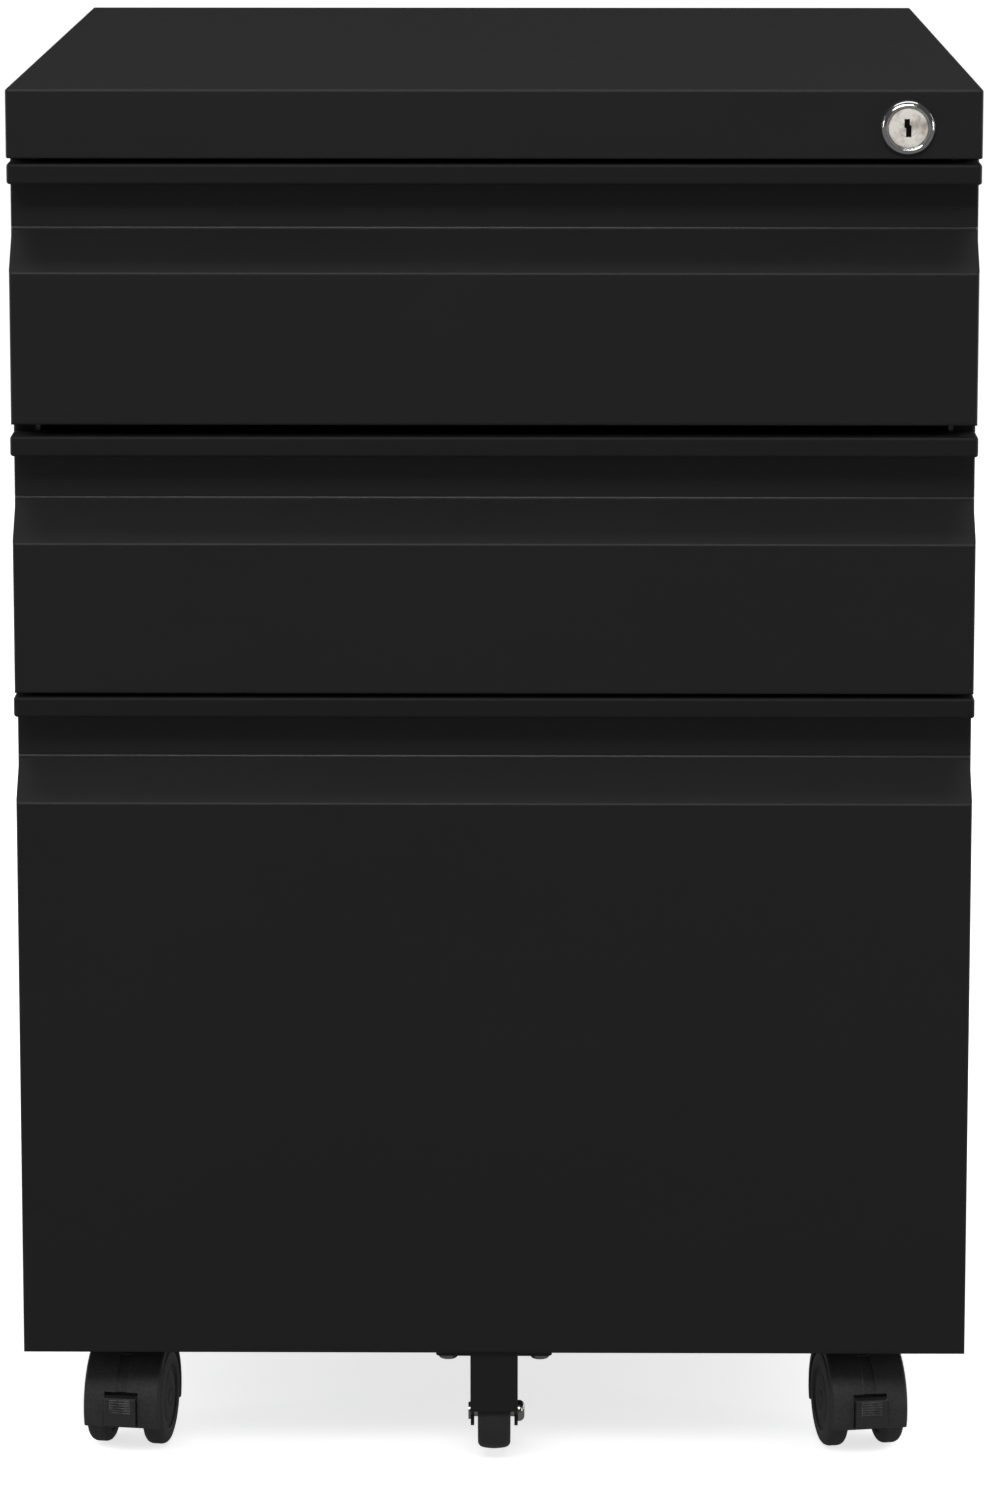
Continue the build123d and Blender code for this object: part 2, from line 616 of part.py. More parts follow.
def anti_tip_bracket():
    """Plate under the front's lower flange with a fork and its front web turned down from it."""
    high = FRONT_BASE
    low = high - TIP_PLATE_THICK
    y0 = behind(TIP_PLATE_START)
    half = TIP_PLATE_WIDTH / 2
    plate = block(-half, half, y0, y0 + TIP_PLATE_DEPTH, low, high)
    plate = rounded(plate, edges_at(plate, Axis.Z, x=half), 2 * EDGE_RADIUS)
    outer = TIP_FORK_WIDTH / 2
    axle_y = behind(TIP_AXLE_BEHIND)
    top, end = TIP_FORK_HALF_TOP, TIP_FORK_END
    outline = [(y0, low), (axle_y + top, low), (axle_y + end, TIP_AXLE_Z)]
    outline += [(axle_y - end, TIP_AXLE_Z), (y0, low - TIP_WEB_HEIGHT)]
    fork = plate
    for x0 in (-outer, outer - TIP_FORK_WALL):
        leg = side_prism(outline, x0, x0 + TIP_FORK_WALL)
        leg += rod_x(end, x0, x0 + TIP_FORK_WALL, axle_y, TIP_AXLE_Z)
        fork += leg
    fork += block(-outer, outer, y0, y0 + TIP_FORK_WALL, low - TIP_WEB_HEIGHT, low)
    fork = rounded(fork, edges_at(fork, Axis.Z, x=outer, y=y0), EDGE_RADIUS)
    fork -= rod_x(TIP_AXLE_RADIUS + AXLE_PLAY, -outer - CUT, outer + CUT, axle_y, TIP_AXLE_Z)
    for x in (-TIP_SCREW_SPACING / 2, TIP_SCREW_SPACING / 2):
        hole = SCREW_RADIUS + SCREW_HOLE_PLAY
        fork -= rod_z(hole, low - CUT, high + CUT, x, behind(TIP_SCREW_BEHIND))
    return fork


def anti_tip_axle():
    """Pin with a domed head on the right and a riveted end on the left."""
    outer, y = TIP_FORK_WIDTH / 2, behind(TIP_AXLE_BEHIND)
    head = rod_x(TIP_HEAD_RADIUS, outer, outer + TIP_HEAD_PROUD, y, TIP_AXLE_Z)
    rim = head.edges().sort_by(Axis.X)[-1]
    head = fillet(rim, TIP_HEAD_ROUND)
    rivet = rod_x(TIP_RIVET_RADIUS, -outer - TIP_RIVET_PROUD, -outer, y, TIP_AXLE_Z)
    return rod_x(TIP_AXLE_RADIUS, -outer - CUT / 2, outer + CUT / 2, y, TIP_AXLE_Z) + head + rivet


def anti_tip_wheel():
    """Small solid wheel, just clear of the floor."""
    half, y = TIP_WHEEL_WIDTH / 2, behind(TIP_AXLE_BEHIND)
    wheel = rod_x(TIP_WHEEL_RADIUS, -half, half, y, TIP_AXLE_Z)
    wheel = fillet(wheel.edges().filter_by(GeomType.CIRCLE), TIP_WHEEL_ROUND)
    return wheel - rod_x(TIP_AXLE_RADIUS + AXLE_PLAY, -half - CUT, half + CUT, y, TIP_AXLE_Z)


# ---- Lock

def lock_housing():
    """Bezel and barrel, bored for the plug."""
    bezel = rod_y(BEZEL_RADIUS, FACE_Y - BEZEL_PROUD, FACE_Y, LOCK_X, LOCK_Z)
    bezel = fillet(bezel.edges().sort_by(Axis.Y)[0], BEZEL_PROUD / 2)
    body = bezel + rod_y(BARREL_RADIUS, FACE_Y - CUT / 2, behind(BARREL_LENGTH), LOCK_X, LOCK_Z)
    bore = PLUG_RADIUS + PLUG_PLAY
    return body - rod_y(bore, FACE_Y - BEZEL_PROUD - CUT, behind(BARREL_LENGTH) + CUT, LOCK_X, LOCK_Z)


def lock_nut():
    """Nut that clamps the housing to the cap's front."""
    y0 = behind(SHEET)
    nut = hex_y(LOCK_NUT_FLATS, y0, y0 + LOCK_NUT_THICK, LOCK_X, LOCK_Z)
    bore = BARREL_RADIUS + PLUG_PLAY
    return nut - rod_y(bore, y0 - CUT, y0 + LOCK_NUT_THICK + CUT, LOCK_X, LOCK_Z)


CAM_BEHIND = BARREL_LENGTH + PLUG_PAST_BARREL


def lock_plug():
    """Plug with its keyway, and behind it the post and nut that hold the cam."""
    face = FACE_Y - BEZEL_PROUD + PLUG_SHY
    plug = rod_y(PLUG_RADIUS, face, behind(CAM_BEHIND), LOCK_X, LOCK_Z)
    plug = fillet(plug.edges().sort_by(Axis.Y)[0], PLUG_SHY / 2)
    disc_front = face - PLUG_DISC_PROUD
    plug += rod_y(PLUG_DISC_RADIUS, disc_front, face + CUT, LOCK_X, LOCK_Z)
    half_w, half_h = KEYWAY_WIDTH / 2, KEYWAY_HEIGHT / 2
    keyway = block(LOCK_X - half_w, LOCK_X + half_w, disc_front - CUT, disc_front + KEYWAY_DEPTH,
                   LOCK_Z - half_h, LOCK_Z + half_h)
    plug -= keyway
    post_end = behind(CAM_BEHIND + CAM_WALL + CAM_NUT_THICK)
    plug += rod_y(CAM_POST_RADIUS, behind(CAM_BEHIND) - CUT, post_end, LOCK_X, LOCK_Z)
    return plug + rod_y(CAM_NUT_RADIUS, behind(CAM_BEHIND + CAM_WALL), post_end, LOCK_X, LOCK_Z)


def lock_cam():
    """Cam plate with the pin that works the lock bar."""
    y0, y1 = behind(CAM_BEHIND), behind(CAM_BEHIND + CAM_WALL)
    pin_x, pin_z = LOCK_X + PIN_DX, LOCK_Z + PIN_DZ
    plate = rod_y(CAM_HUB_RADIUS, y0, y1, LOCK_X, LOCK_Z)
    plate += rod_y(CAM_TIP_RADIUS, y0, y1, pin_x, pin_z)
    middle = Pos((LOCK_X + pin_x) / 2, (y0 + y1) / 2, (LOCK_Z + pin_z) / 2)
    plate += middle * Rot(0, -CAM_REST_ANGLE, 0) * Box(CAM_THROW, CAM_WALL, 2 * CAM_TIP_RADIUS)
    plate -= rod_y(CAM_POST_RADIUS + PLUG_PLAY, y0 - CUT, y1 + CUT, LOCK_X, LOCK_Z)
    pin_end = behind(BAR_BEHIND + BAR_THICK + CAM_PIN_RADIUS)
    return plate + rod_y(CAM_PIN_RADIUS, y0 + CAM_WALL / 2, pin_end, pin_x, pin_z)


def lock_bar():
    """Flat bar in the front right post: a lug for each drawer and a slotted arm at the cam."""
    y0, y1 = behind(BAR_BEHIND), behind(BAR_BEHIND + BAR_THICK)
    arm_z = LOCK_Z + PIN_DZ
    low = drawers()[-1].catch_z - GUIDE_UNDER_LUG - GUIDE_THICK - BAR_PAST_GUIDE
    bar = block(BAR_X0, BAR_X1, y0, y1, low, arm_z)
    for row in drawers():
        z0 = row.catch_z + BAR_STROKE
        bar += block(BAR_X0 - LUG_REACH, BAR_X1, y0, y1, z0, z0 + CATCH_HEIGHT)
    slot_half = CAM_PIN_RADIUS + SLOT_PLAY
    slot_x0, slot_x1 = LOCK_X + PIN_DX - slot_half, LOCK_X + CAM_THROW + slot_half
    arm_x0 = slot_x0 - ARM_PAST_SLOT
    bar += block(arm_x0, BAR_X1, y0, y1, arm_z - ARM_HALF_HEIGHT, arm_z + ARM_HALF_HEIGHT)
    return bar - block(slot_x0, slot_x1, y0 - CUT, y1 + CUT, arm_z - slot_half, arm_z + slot_half)


def lock_bar_guides():
    """Blocks inside the post that the bar slides through, one under each lug."""
    x0, x1 = POST_X + UPRIGHT_WALL, SHELL_INNER_X
    middle = behind(BAR_BEHIND + BAR_THICK / 2)
    y0, y1 = middle - GUIDE_WIDTH / 2, middle + GUIDE_WIDTH / 2
    guides = []
    for row in drawers():
        high = row.catch_z - GUIDE_UNDER_LUG
        guide = block(x0, x1, y0, y1, high - GUIDE_THICK, high)
        gap_y = BAR_THICK / 2 + GUIDE_PLAY
        guide -= block(BAR_X0 - GUIDE_PLAY, BAR_X1 + GUIDE_PLAY, middle - gap_y, middle + gap_y,
                       high - GUIDE_THICK - CUT, high + CUT)
        guides.append(guide)
    return guides


# ---- Casters

def caster_places():
    """(x, y) of each swivel axis."""
    front, rear = behind(CASTER_FRONT), BACK_Y - CASTER_REAR
    places = {}
    for end, y in (("front", front), ("rear", rear)):
        for side, x in (("left", -CASTER_X), ("right", CASTER_X)):
            places[f"{end}_{side}"] = (x, y)
    return places


def lever_pivot(axle_y):
    """(y, z) of a brake lever's pivot, in the middle of the hood's wall."""
    middle = HOOD_RADIUS - HOOD_WALL / 2
    angle = radians(LEVER_PIVOT_ANGLE)
    return axle_y - middle * cos(angle), WHEEL_RADIUS + middle * sin(angle)


def caster_hood(x, y, braked):
    """Hood over both wheels, with the web and boss that carry the axle and the stem."""
    axle_y = y - CASTER_TRAIL
    half = HOOD_WIDTH / 2
    hood = rod_x(HOOD_RADIUS, x - half, x + half, axle_y, WHEEL_RADIUS)
    hood = fillet(hood.edges().filter_by(GeomType.CIRCLE), HOOD_ROUND)
    hood += rod_z(BOSS_RADIUS, WHEEL_RADIUS, HOOD_HIGH, x, y)
    inner = WHEEL_GAP / 2 - WEB_SIDE_PLAY
    pocket = WHEEL_RADIUS + HOOD_PLAY
    for x0, x1 in ((-half - CUT, -inner), (inner, half + CUT)):
        hood -= rod_x(pocket, x + x0, x + x1, axle_y, WHEEL_RADIUS)
    far = 2 * HOOD_RADIUS
    hood -= block(x - far, x + far, axle_y - far, axle_y + far, -far, HOOD_LOW)
    hood -= rod_x(AXLE_RADIUS + AXLE_PLAY, x - half, x + half, axle_y, WHEEL_RADIUS)
    hood -= rod_z(STEM_RADIUS + STEM_PLAY, STEM_LOW - AXLE_END_PLAY, HOOD_HIGH + CUT, x, y)
    if braked:
        pivot_y, pivot_z = lever_pivot(axle_y)
        slot = LEVER_WIDTH / 2 + LEVER_SIDE_PLAY
        rim = HOOD_LOW + LEVER_RIM
        hood -= block(x - slot, x + slot, axle_y - far, axle_y - WHEEL_RADIUS, rim, pivot_z)
        high = pivot_z + LEVER_SLOT_HEAD
        head_y = pivot_y + LEVER_KNUCKLE + LEVER_SIDE_PLAY
        low = pivot_z - LEVER_KNUCKLE - LEVER_SIDE_PLAY
        hood -= block(x - slot, x + slot, axle_y - far, head_y, low, high)
        half_groove = GROOVE_WIDTH / 2
        groove = block(x - half_groove, x + half_groove, axle_y - far, axle_y, high - CUT, GROOVE_TOP)
        floor = rod_x(HOOD_RADIUS - GROOVE_DEPTH, x - half, x + half, axle_y, WHEEL_RADIUS)
        hood -= groove - floor
        reach = LEVER_WIDTH / 2 + LEVER_PIN_REACH + LEVER_SIDE_PLAY
        hood -= rod_x(LEVER_PIN_RADIUS + AXLE_PLAY, x - reach, x + reach, pivot_y, pivot_z)
    return hood


def caster_axle(x, y):
    """Plain pin through the hood's web into both wheels."""
    half = WHEEL_GAP / 2 + WHEEL_WIDTH - WHEEL_CAP_WALL - AXLE_END_PLAY
    return rod_x(AXLE_RADIUS, x - half, x + half, y - CASTER_TRAIL, WHEEL_RADIUS)


def caster_wheel(x, y, side):
    """Wheel with a rounded tread and a dished outer face; side is -1 for left, 1 for right."""
    axle_y = y - CASTER_TRAIL
    x0, x1 = WHEEL_GAP / 2, WHEEL_GAP / 2 + WHEEL_WIDTH
    wheel = rod_x(WHEEL_RADIUS, x0, x1, axle_y, WHEEL_RADIUS)
    rims = wheel.edges().filter_by(GeomType.CIRCLE).sort_by(Axis.X)
    wheel = fillet(rims[-1], WHEEL_OUTER_ROUND)
    rims = wheel.edges().filter_by(GeomType.CIRCLE).sort_by(Axis.X)
    wheel = fillet(rims[0], WHEEL_INNER_ROUND)
    wheel -= rod_x(WHEEL_DISH_RADIUS, x1 - WHEEL_DISH_DEPTH, x1 + CUT, axle_y, WHEEL_RADIUS)
    wheel -= rod_x(AXLE_RADIUS + AXLE_PLAY, x0 - CUT, x1 - WHEEL_CAP_WALL, axle_y, WHEEL_RADIUS)
    if side < 0:
        wheel = mirror(wheel, about=Plane.YZ)
    return Pos(x, 0, 0) * wheel


def caster_stems():
    """Swivel pins with their collars under the base pan and nuts above it."""
    stems = []
    nut_low = BASE_Z + PAN_WALL
    nut_high = nut_low + STEM_NUT_THICK
    for x, y in caster_places().values():
        stem = rod_z(STEM_RADIUS, STEM_LOW, nut_high + STEM_PAST_NUT, x, y)
        stem += rod_z(COLLAR_RADIUS, BASE_Z - COLLAR_THICK, BASE_Z, x, y)
        stems.append(stem + hex_z(STEM_NUT_FLATS, nut_low, nut_high, x, y))
    return stems


def brake_lever(x, y):
    """Ribbed pedal in the hood's front, on a knuckle with a trunnion at each end."""
    axle_y = y - CASTER_TRAIL
    pivot_y, pivot_z = lever_pivot(axle_y)
    half = LEVER_WIDTH / 2
    face = axle_y - HOOD_RADIUS - LEVER_PROUD
    top = pivot_z + LEVER_KNUCKLE
    pedal = block(x - half, x + half, face, face + LEVER_THICK, LEVER_LOW, top)
    pedal = rounded(pedal, list(pedal.faces().sort_by(Axis.Y)[0].edges()), EDGE_RADIUS / 2)
    pedal += block(x - half, x + half, face + LEVER_THICK / 2, pivot_y, pivot_z - LEVER_KNUCKLE, top)
    pedal += rod_x(LEVER_KNUCKLE, x - half, x + half, pivot_y, pivot_z)
    for index in range(LEVER_RIBS):
        z = top - LEVER_RIB_PITCH * (index + 1)
        inner = half - 2 * EDGE_RADIUS
        pedal += block(x - inner, x + inner, face - LEVER_RIB_PROUD, face + CUT / 2,
                       z - LEVER_RIB_WIDTH / 2, z + LEVER_RIB_WIDTH / 2)
    reach = half + LEVER_PIN_REACH
    return pedal + rod_x(LEVER_PIN_RADIUS, x - reach, x + reach, pivot_y, pivot_z)


# ---- The whole cabinet

def caster_nodes(place, x, y):
    """A caster's own nodes, turned about its swivel axis to where it stands."""
    braked = place.startswith("front")
    made = {
        "hood": caster_hood(x, y, braked),
        "axle": caster_axle(x, y),
        "wheel_l": caster_wheel(x, y, -1),
        "wheel_r": caster_wheel(x, y, 1),
    }
    if braked:
        made["brake"] = brake_lever(x, y)
    turn = Pos(x, y, 0) * Rot(0, 0, CASTER_TURNS.get(place, 0.0)) * Pos(-x, -y, 0)
    return {f"caster_{place}_{piece}": [turn * solid] for piece, solid in made.items()}


def nodes():
    """Every node's name and its solids."""
    made = {
        "cabinet_shell": [cabinet_shell()],
        "top_cap": [top_cap()],
        "base_pan": [base_pan()],
        "uprights": uprights(),
        "lock_housing": [lock_housing()],
        "lock_nut": [lock_nut()],
        "lock_plug": [lock_plug()],
        "lock_cam": [lock_cam()],
        "lock_bar": [lock_bar()],
        "lock_bar_guides": lock_bar_guides(),
        "caster_stems": caster_stems(),
        "anti_tip_bracket": [anti_tip_bracket()],
        "anti_tip_axle": [anti_tip_axle()],
        "anti_tip_wheel": [anti_tip_wheel()],
    }
    for row in drawers():
        made[f"slide_{row.number}_outer"] = slide_outer(row)
        made[f"slide_{row.number}_middle"] = slide_middle(row)
        made[f"slide_{row.number}_inner"] = slide_inner(row)
        made[f"slide_{row.number}_outer_cage"] = outer_cage(row)
        made[f"slide_{row.number}_inner_cage"] = inner_cage(row)
        made[f"drawer_{row.number}_front"] = [drawer_front(row)]
        made[f"drawer_{row.number}_pull"] = [drawer_pull(row)]
        made[f"drawer_{row.number}_tray"] = drawer_tray(row)
        made[f"drawer_{row.number}_catch"] = [drawer_catch(row)]
        made[f"drawer_{row.number}_screws"] = drawer_screws(row)
    made["file_rails"] = file_rails(drawers()[-1])
    for place, (x, y) in caster_places().items():
        made.update(caster_nodes(place, x, y))
    return made


def main():
    """Writes one STEP file for each node."""
    os.makedirs("parts", exist_ok=True)
    for name, pieces in nodes().items():
        solids = [solid for piece in pieces for solid in piece.solids()]
        export_step(Compound(solids), f"parts/{name}.step")


if __name__ == "__main__":
    main()
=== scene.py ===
"""Looks of a black sheet-steel mobile pedestal: its finishes, modelled trim, studio and camera."""

import json
import logging
import math
from dataclasses import dataclass
from enum import Enum
from typing import Callable, Iterable, Sequence

import bpy
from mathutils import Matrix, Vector

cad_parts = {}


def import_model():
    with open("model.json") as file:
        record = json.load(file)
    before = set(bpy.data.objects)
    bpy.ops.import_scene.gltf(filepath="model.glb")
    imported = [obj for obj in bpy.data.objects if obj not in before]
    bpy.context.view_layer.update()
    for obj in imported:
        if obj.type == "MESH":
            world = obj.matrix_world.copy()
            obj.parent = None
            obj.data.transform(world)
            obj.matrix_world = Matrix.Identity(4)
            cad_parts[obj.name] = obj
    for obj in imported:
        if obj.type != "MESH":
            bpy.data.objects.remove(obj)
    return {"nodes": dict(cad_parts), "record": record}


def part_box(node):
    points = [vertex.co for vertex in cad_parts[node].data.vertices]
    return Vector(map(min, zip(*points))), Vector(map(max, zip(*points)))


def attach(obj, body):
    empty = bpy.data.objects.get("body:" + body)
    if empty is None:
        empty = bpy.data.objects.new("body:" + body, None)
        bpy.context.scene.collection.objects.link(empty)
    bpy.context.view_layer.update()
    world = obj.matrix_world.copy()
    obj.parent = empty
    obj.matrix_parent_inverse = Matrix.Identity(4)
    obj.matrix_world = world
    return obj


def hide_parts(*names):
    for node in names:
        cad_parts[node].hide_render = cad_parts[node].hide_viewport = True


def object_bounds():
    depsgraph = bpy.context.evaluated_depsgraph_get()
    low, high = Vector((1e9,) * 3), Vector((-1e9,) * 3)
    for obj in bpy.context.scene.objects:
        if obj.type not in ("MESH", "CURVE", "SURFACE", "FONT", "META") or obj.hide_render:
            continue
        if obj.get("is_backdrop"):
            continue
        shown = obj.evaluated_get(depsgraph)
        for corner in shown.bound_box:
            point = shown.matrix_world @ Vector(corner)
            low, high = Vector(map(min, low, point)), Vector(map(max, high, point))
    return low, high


LOG = logging.getLogger("pedestal")
MM = 0.001
DOUBLES = 0.000001
SMOOTH_BELOW = 32.0
WHITE = (1.0, 1.0, 1.0, 1.0)
DUST_ON_STEEL = (0.30, 0.29, 0.27, 1.0)
DUST_ON_PLASTIC = (0.28, 0.27, 0.25, 1.0)
Point = tuple[float, float, float]
Colour = tuple[float, float, float]
RECORD: dict = {}


class Axis(Enum):
    """Axes that cuts are placed along."""

    X = (1.0, 0.0, 0.0)
    Y = (0.0, 1.0, 0.0)
    Z = (0.0, 0.0, 1.0)


class Grain(Enum):
    """Which way a brushed metal's lines run."""

    ALONG_X = (4.0, 900.0, 900.0)
    ALONG_Y = (900.0, 4.0, 900.0)
    ALONG_Z = (900.0, 900.0, 4.0)


# ---------------------------------------------------------------- node trees


class Tree:
    """Short way of adding and joining shader nodes."""

    def __init__(self, tree: bpy.types.NodeTree) -> None:
        """Keeps the tree that nodes go into.

        Args:
            tree: a material's, world's or group's node tree.
        """
        self.tree = tree

    def add(self, kind: str, **values: object) -> bpy.types.Node:
        """Adds a node and sets its sockets and properties.

        Args:
            kind: node type without the ShaderNode prefix.
            values: sockets by name (underscores for spaces) or by i and a number, and
                properties by name.

        Returns:
            The new node.
        """
        node = self.tree.nodes.new(kind if kind.startswith("Node") else "ShaderNode" + kind)
        for key, value in values.items():
            if hasattr(node, key):
                setattr(node, key, value)
                continue
            numbered = key[0] == "i" and key[1:].isdigit()
            socket = node.inputs[int(key[1:]) if numbered else key.replace("_", " ")]
            if isinstance(value, bpy.types.NodeSocket):
                self.tree.links.new(value, socket)
            else:
                socket.default_value = value
        return node

    def join(self, source: bpy.types.NodeSocket, target: bpy.types.NodeSocket) -> None:
        """Links one socket to another."""
        self.tree.links.new(source, target)

    def math(self, operation: str, first: object, second: object = 0.0,
             clamp: bool = False) -> bpy.types.NodeSocket:
        """Adds a Math node.

        Args:
            operation: Blender's name of the operation.
            first: number or socket.
            second: number or socket.
            clamp: whether the result stays in 0 to 1.

        Returns:
            The result's socket.
        """
        node = self.add("Math", operation=operation, use_clamp=clamp)
        for index, value in enumerate((first, second)):
            if isinstance(value, bpy.types.NodeSocket):
                self.join(value, node.inputs[index])
            else:
                node.inputs[index].default_value = value
        return node.outputs[0]

    def remap(self, value: bpy.types.NodeSocket, low: float, high: float,
              to_low: float, to_high: float) -> bpy.types.NodeSocket:
        """Maps a range to another one, clamped.

        Args:
            value: the input.
            low: its low end.
            high: its high end.
            to_low: result at the low end.
            to_high: result at the high end.

        Returns:
            The result's socket.
        """
        node = self.add("MapRange", Value=value, From_Min=low, From_Max=high,
                        To_Min=to_low, To_Max=to_high)
        return node.outputs[0]

    def blend(self, factor: object, first: object, second: object) -> bpy.types.NodeSocket:
        """Mixes two colours.

        Args:
            factor: number or socket.
            first: colour (RGBA) or socket.
            second: colour (RGBA) or socket.

        Returns:
            The mixed colour's socket.
        """
        node = self.add("Mix", data_type="RGBA")
        for index, value in ((0, factor), (6, first), (7, second)):
            if isinstance(value, bpy.types.NodeSocket):
                self.join(value, node.inputs[index])
            else:
                node.inputs[index].default_value = value
        return node.outputs[2]


class Effect:
    """A shared effect: one node group, made the first time that it is asked for."""

    title = "effect"
    inputs: Sequence[tuple[str, float]] = ()
    outputs: Sequence[tuple[str, str]] = ()

    @classmethod
    def group(cls) -> bpy.types.NodeTree:
        """Makes the effect's node group once.

        Returns:
            The group.
        """
        found = bpy.data.node_groups.get(cls.title)
        if found:
            return found
        made = bpy.data.node_groups.new(cls.title, "ShaderNodeTree")
        for name, default in cls.inputs:
            socket = made.interface.new_socket(name, in_out="INPUT", socket_type="NodeSocketFloat")
            socket.default_value = default
        for name, kind in cls.outputs:
            made.interface.new_socket(name, in_out="OUTPUT", socket_type=kind)
        tree = Tree(made)
        source = tree.add("NodeGroupInput")
        sink = tree.add("NodeGroupOutput")
        cls.wire(tree, source, sink)
        return made

    @classmethod
    def wire(cls, tree: Tree, source: bpy.types.Node, sink: bpy.types.Node) -> None:
        """Joins the group's nodes; each effect has its own."""
        raise NotImplementedError

    @classmethod
    def place(cls, tree: Tree, **values: float) -> bpy.types.Node:
        """Puts the effect in a material.

        Args:
            tree: the material's tree.
            values: the group's inputs, with underscores for spaces.

        Returns:
            The group node.
        """
        node = tree.add("Group", node_tree=cls.group())
        for key, value in values.items():
            node.inputs[key.replace("_", " ")].default_value = value
        return node


class PowderGrain(Effect):
    """Orange peel of a powder coat: a soft ripple with fine grit on it."""

    title = "powder_grain"
    inputs = (("Ripple Scale", 260.0), ("Grit Scale", 1700.0), ("Grit Share", 0.5))
    outputs = (("Height", "NodeSocketFloat"), ("Fleck", "NodeSocketFloat"))

    @classmethod
    def wire(cls, tree: Tree, source: bpy.types.Node, sink: bpy.types.Node) -> None:
        """Adds the ripple to the grit.

        Args:
            tree: the group's tree.
            source: the node of its inputs.
            sink: the node of its outputs.
        """
        place = tree.add("TexCoord").outputs["Object"]
        ripple = tree.add("TexNoise", Vector=place, Scale=source.outputs[0], Detail=2.0, Roughness=0.5)
        grit = tree.add("TexNoise", Vector=place, Scale=source.outputs[1], Detail=3.0, Roughness=0.65)
        share = tree.math("MULTIPLY", grit.outputs[0], source.outputs[2])
        tree.join(tree.math("ADD", ripple.outputs[0], share), sink.inputs[0])
        tree.join(tree.remap(grit.outputs[0], 0.38, 0.66, 0.0, 1.0), sink.inputs[1])


class SoftEdge(Effect):
    """Rounds sharp folds in the shading, and gives a mask of edges that finishes paint lighter: rubbed
    paint, and, where the wear input is raised, painted highlight lines.
    """

    title = "soft_edge"
    inputs = (("Radius", 0.0006), ("Wear Scale", 55.0), ("Wear", 0.5))
    outputs = (("Mask", "NodeSocketFloat"), ("Normal", "NodeSocketVector"))

    @classmethod
    def wire(cls, tree: Tree, source: bpy.types.Node, sink: bpy.types.Node) -> None:
        """Compares the rounded normal with the true one.

        Args:
            tree: the group's tree.
            source: the node of its inputs.
            sink: the node of its outputs.
        """
        rounded = tree.add("Bevel", samples=4, Radius=source.outputs[0])
        true = tree.add("NewGeometry").outputs["Normal"]
        same = tree.add("VectorMath", operation="DOT_PRODUCT", i0=rounded.outputs[0], i1=true)
        edge = tree.remap(same.outputs["Value"], 0.995, 0.80, 0.0, 1.0)
        place = tree.add("TexCoord").outputs["Object"]
        patch = tree.add("TexNoise", Vector=place, Scale=source.outputs[1], Detail=4.0, Roughness=0.6)
        broken = tree.remap(patch.outputs[0], 0.46, 0.62, 0.25, 1.0)
        # Painted highlight: with a raised Wear (hood, brake, bracket) this edge mask paints highlight lines
        # as well as rubbed paint.
        wear_and_highlight_mask = tree.math("MULTIPLY", tree.math("MULTIPLY", edge, broken), source.outputs[2])
        tree.join(wear_and_highlight_mask, sink.inputs[0])
        tree.join(rounded.outputs[0], sink.inputs[1])


class Dust(Effect):
    """Faint dust that settles on what faces up."""

    title = "dust"
    inputs = (("Amount", 0.15), ("Scale", 24.0))
    outputs = (("Mask", "NodeSocketFloat"),)

    @classmethod
    def wire(cls, tree: Tree, source: bpy.types.Node, sink: bpy.types.Node) -> None:
        """Multiplies how far a face looks up by a patchy noise.

        Args:
            tree: the group's tree.
            source: the node of its inputs.
            sink: the node of its outputs.
        """
        normal = tree.add("NewGeometry").outputs["Normal"]
        up = tree.add("SeparateXYZ", i0=normal).outputs[2]
        place = tree.add("TexCoord").outputs["Object"]
        cloud = tree.add("TexNoise", Vector=place, Scale=source.outputs[1], Detail=6.0, Roughness=0.7)
        speck = tree.add("TexNoise", Vector=place, Scale=1400.0, Detail=1.0)
        patch = tree.remap(cloud.outputs[0], 0.35, 0.75, 0.2, 1.0)
        dots = tree.remap(speck.outputs[0], 0.55, 0.75, 0.3, 1.0)
        facing = tree.remap(up, 0.3, 1.0, 0.0, 1.0)
        lying = tree.math("MULTIPLY", tree.math("MULTIPLY", patch, dots), facing)
        tree.join(tree.math("MULTIPLY", lying, source.outputs[0], clamp=True), sink.inputs[0])


class Handling(Effect):
    """Slow change of gloss left by hands and cleaning."""

    title = "handling"
    inputs = (("Base", 0.45), ("Spread", 0.08))
    outputs = (("Roughness", "NodeSocketFloat"), ("Cloud", "NodeSocketFloat"))

    @classmethod
    def wire(cls, tree: Tree, source: bpy.types.Node, sink: bpy.types.Node) -> None:
        """Adds a broad noise and fine wipes to the base roughness.

        Args:
            tree: the group's tree.
            source: the node of its inputs.
            sink: the node of its outputs.
        """
        place = tree.add("TexCoord").outputs["Object"]
        cloud = tree.add("TexNoise", Vector=place, Scale=9.0, Detail=4.0, Roughness=0.55)
        stretch = tree.add("Mapping", Vector=place, Scale=(12.0, 60.0, 60.0))
        wipes = tree.add("TexNoise", Vector=stretch.outputs[0], Scale=1.0, Detail=5.0, Roughness=0.7)
        both = tree.math("ADD", cloud.outputs[0], wipes.outputs[0])
        centred = tree.math("SUBTRACT", both, 1.0)
        change = tree.math("MULTIPLY", centred, source.outputs[1])
        tree.join(tree.math("ADD", change, source.outputs[0], clamp=True), sink.inputs[0])
        tree.join(cloud.outputs[0], sink.inputs[1])


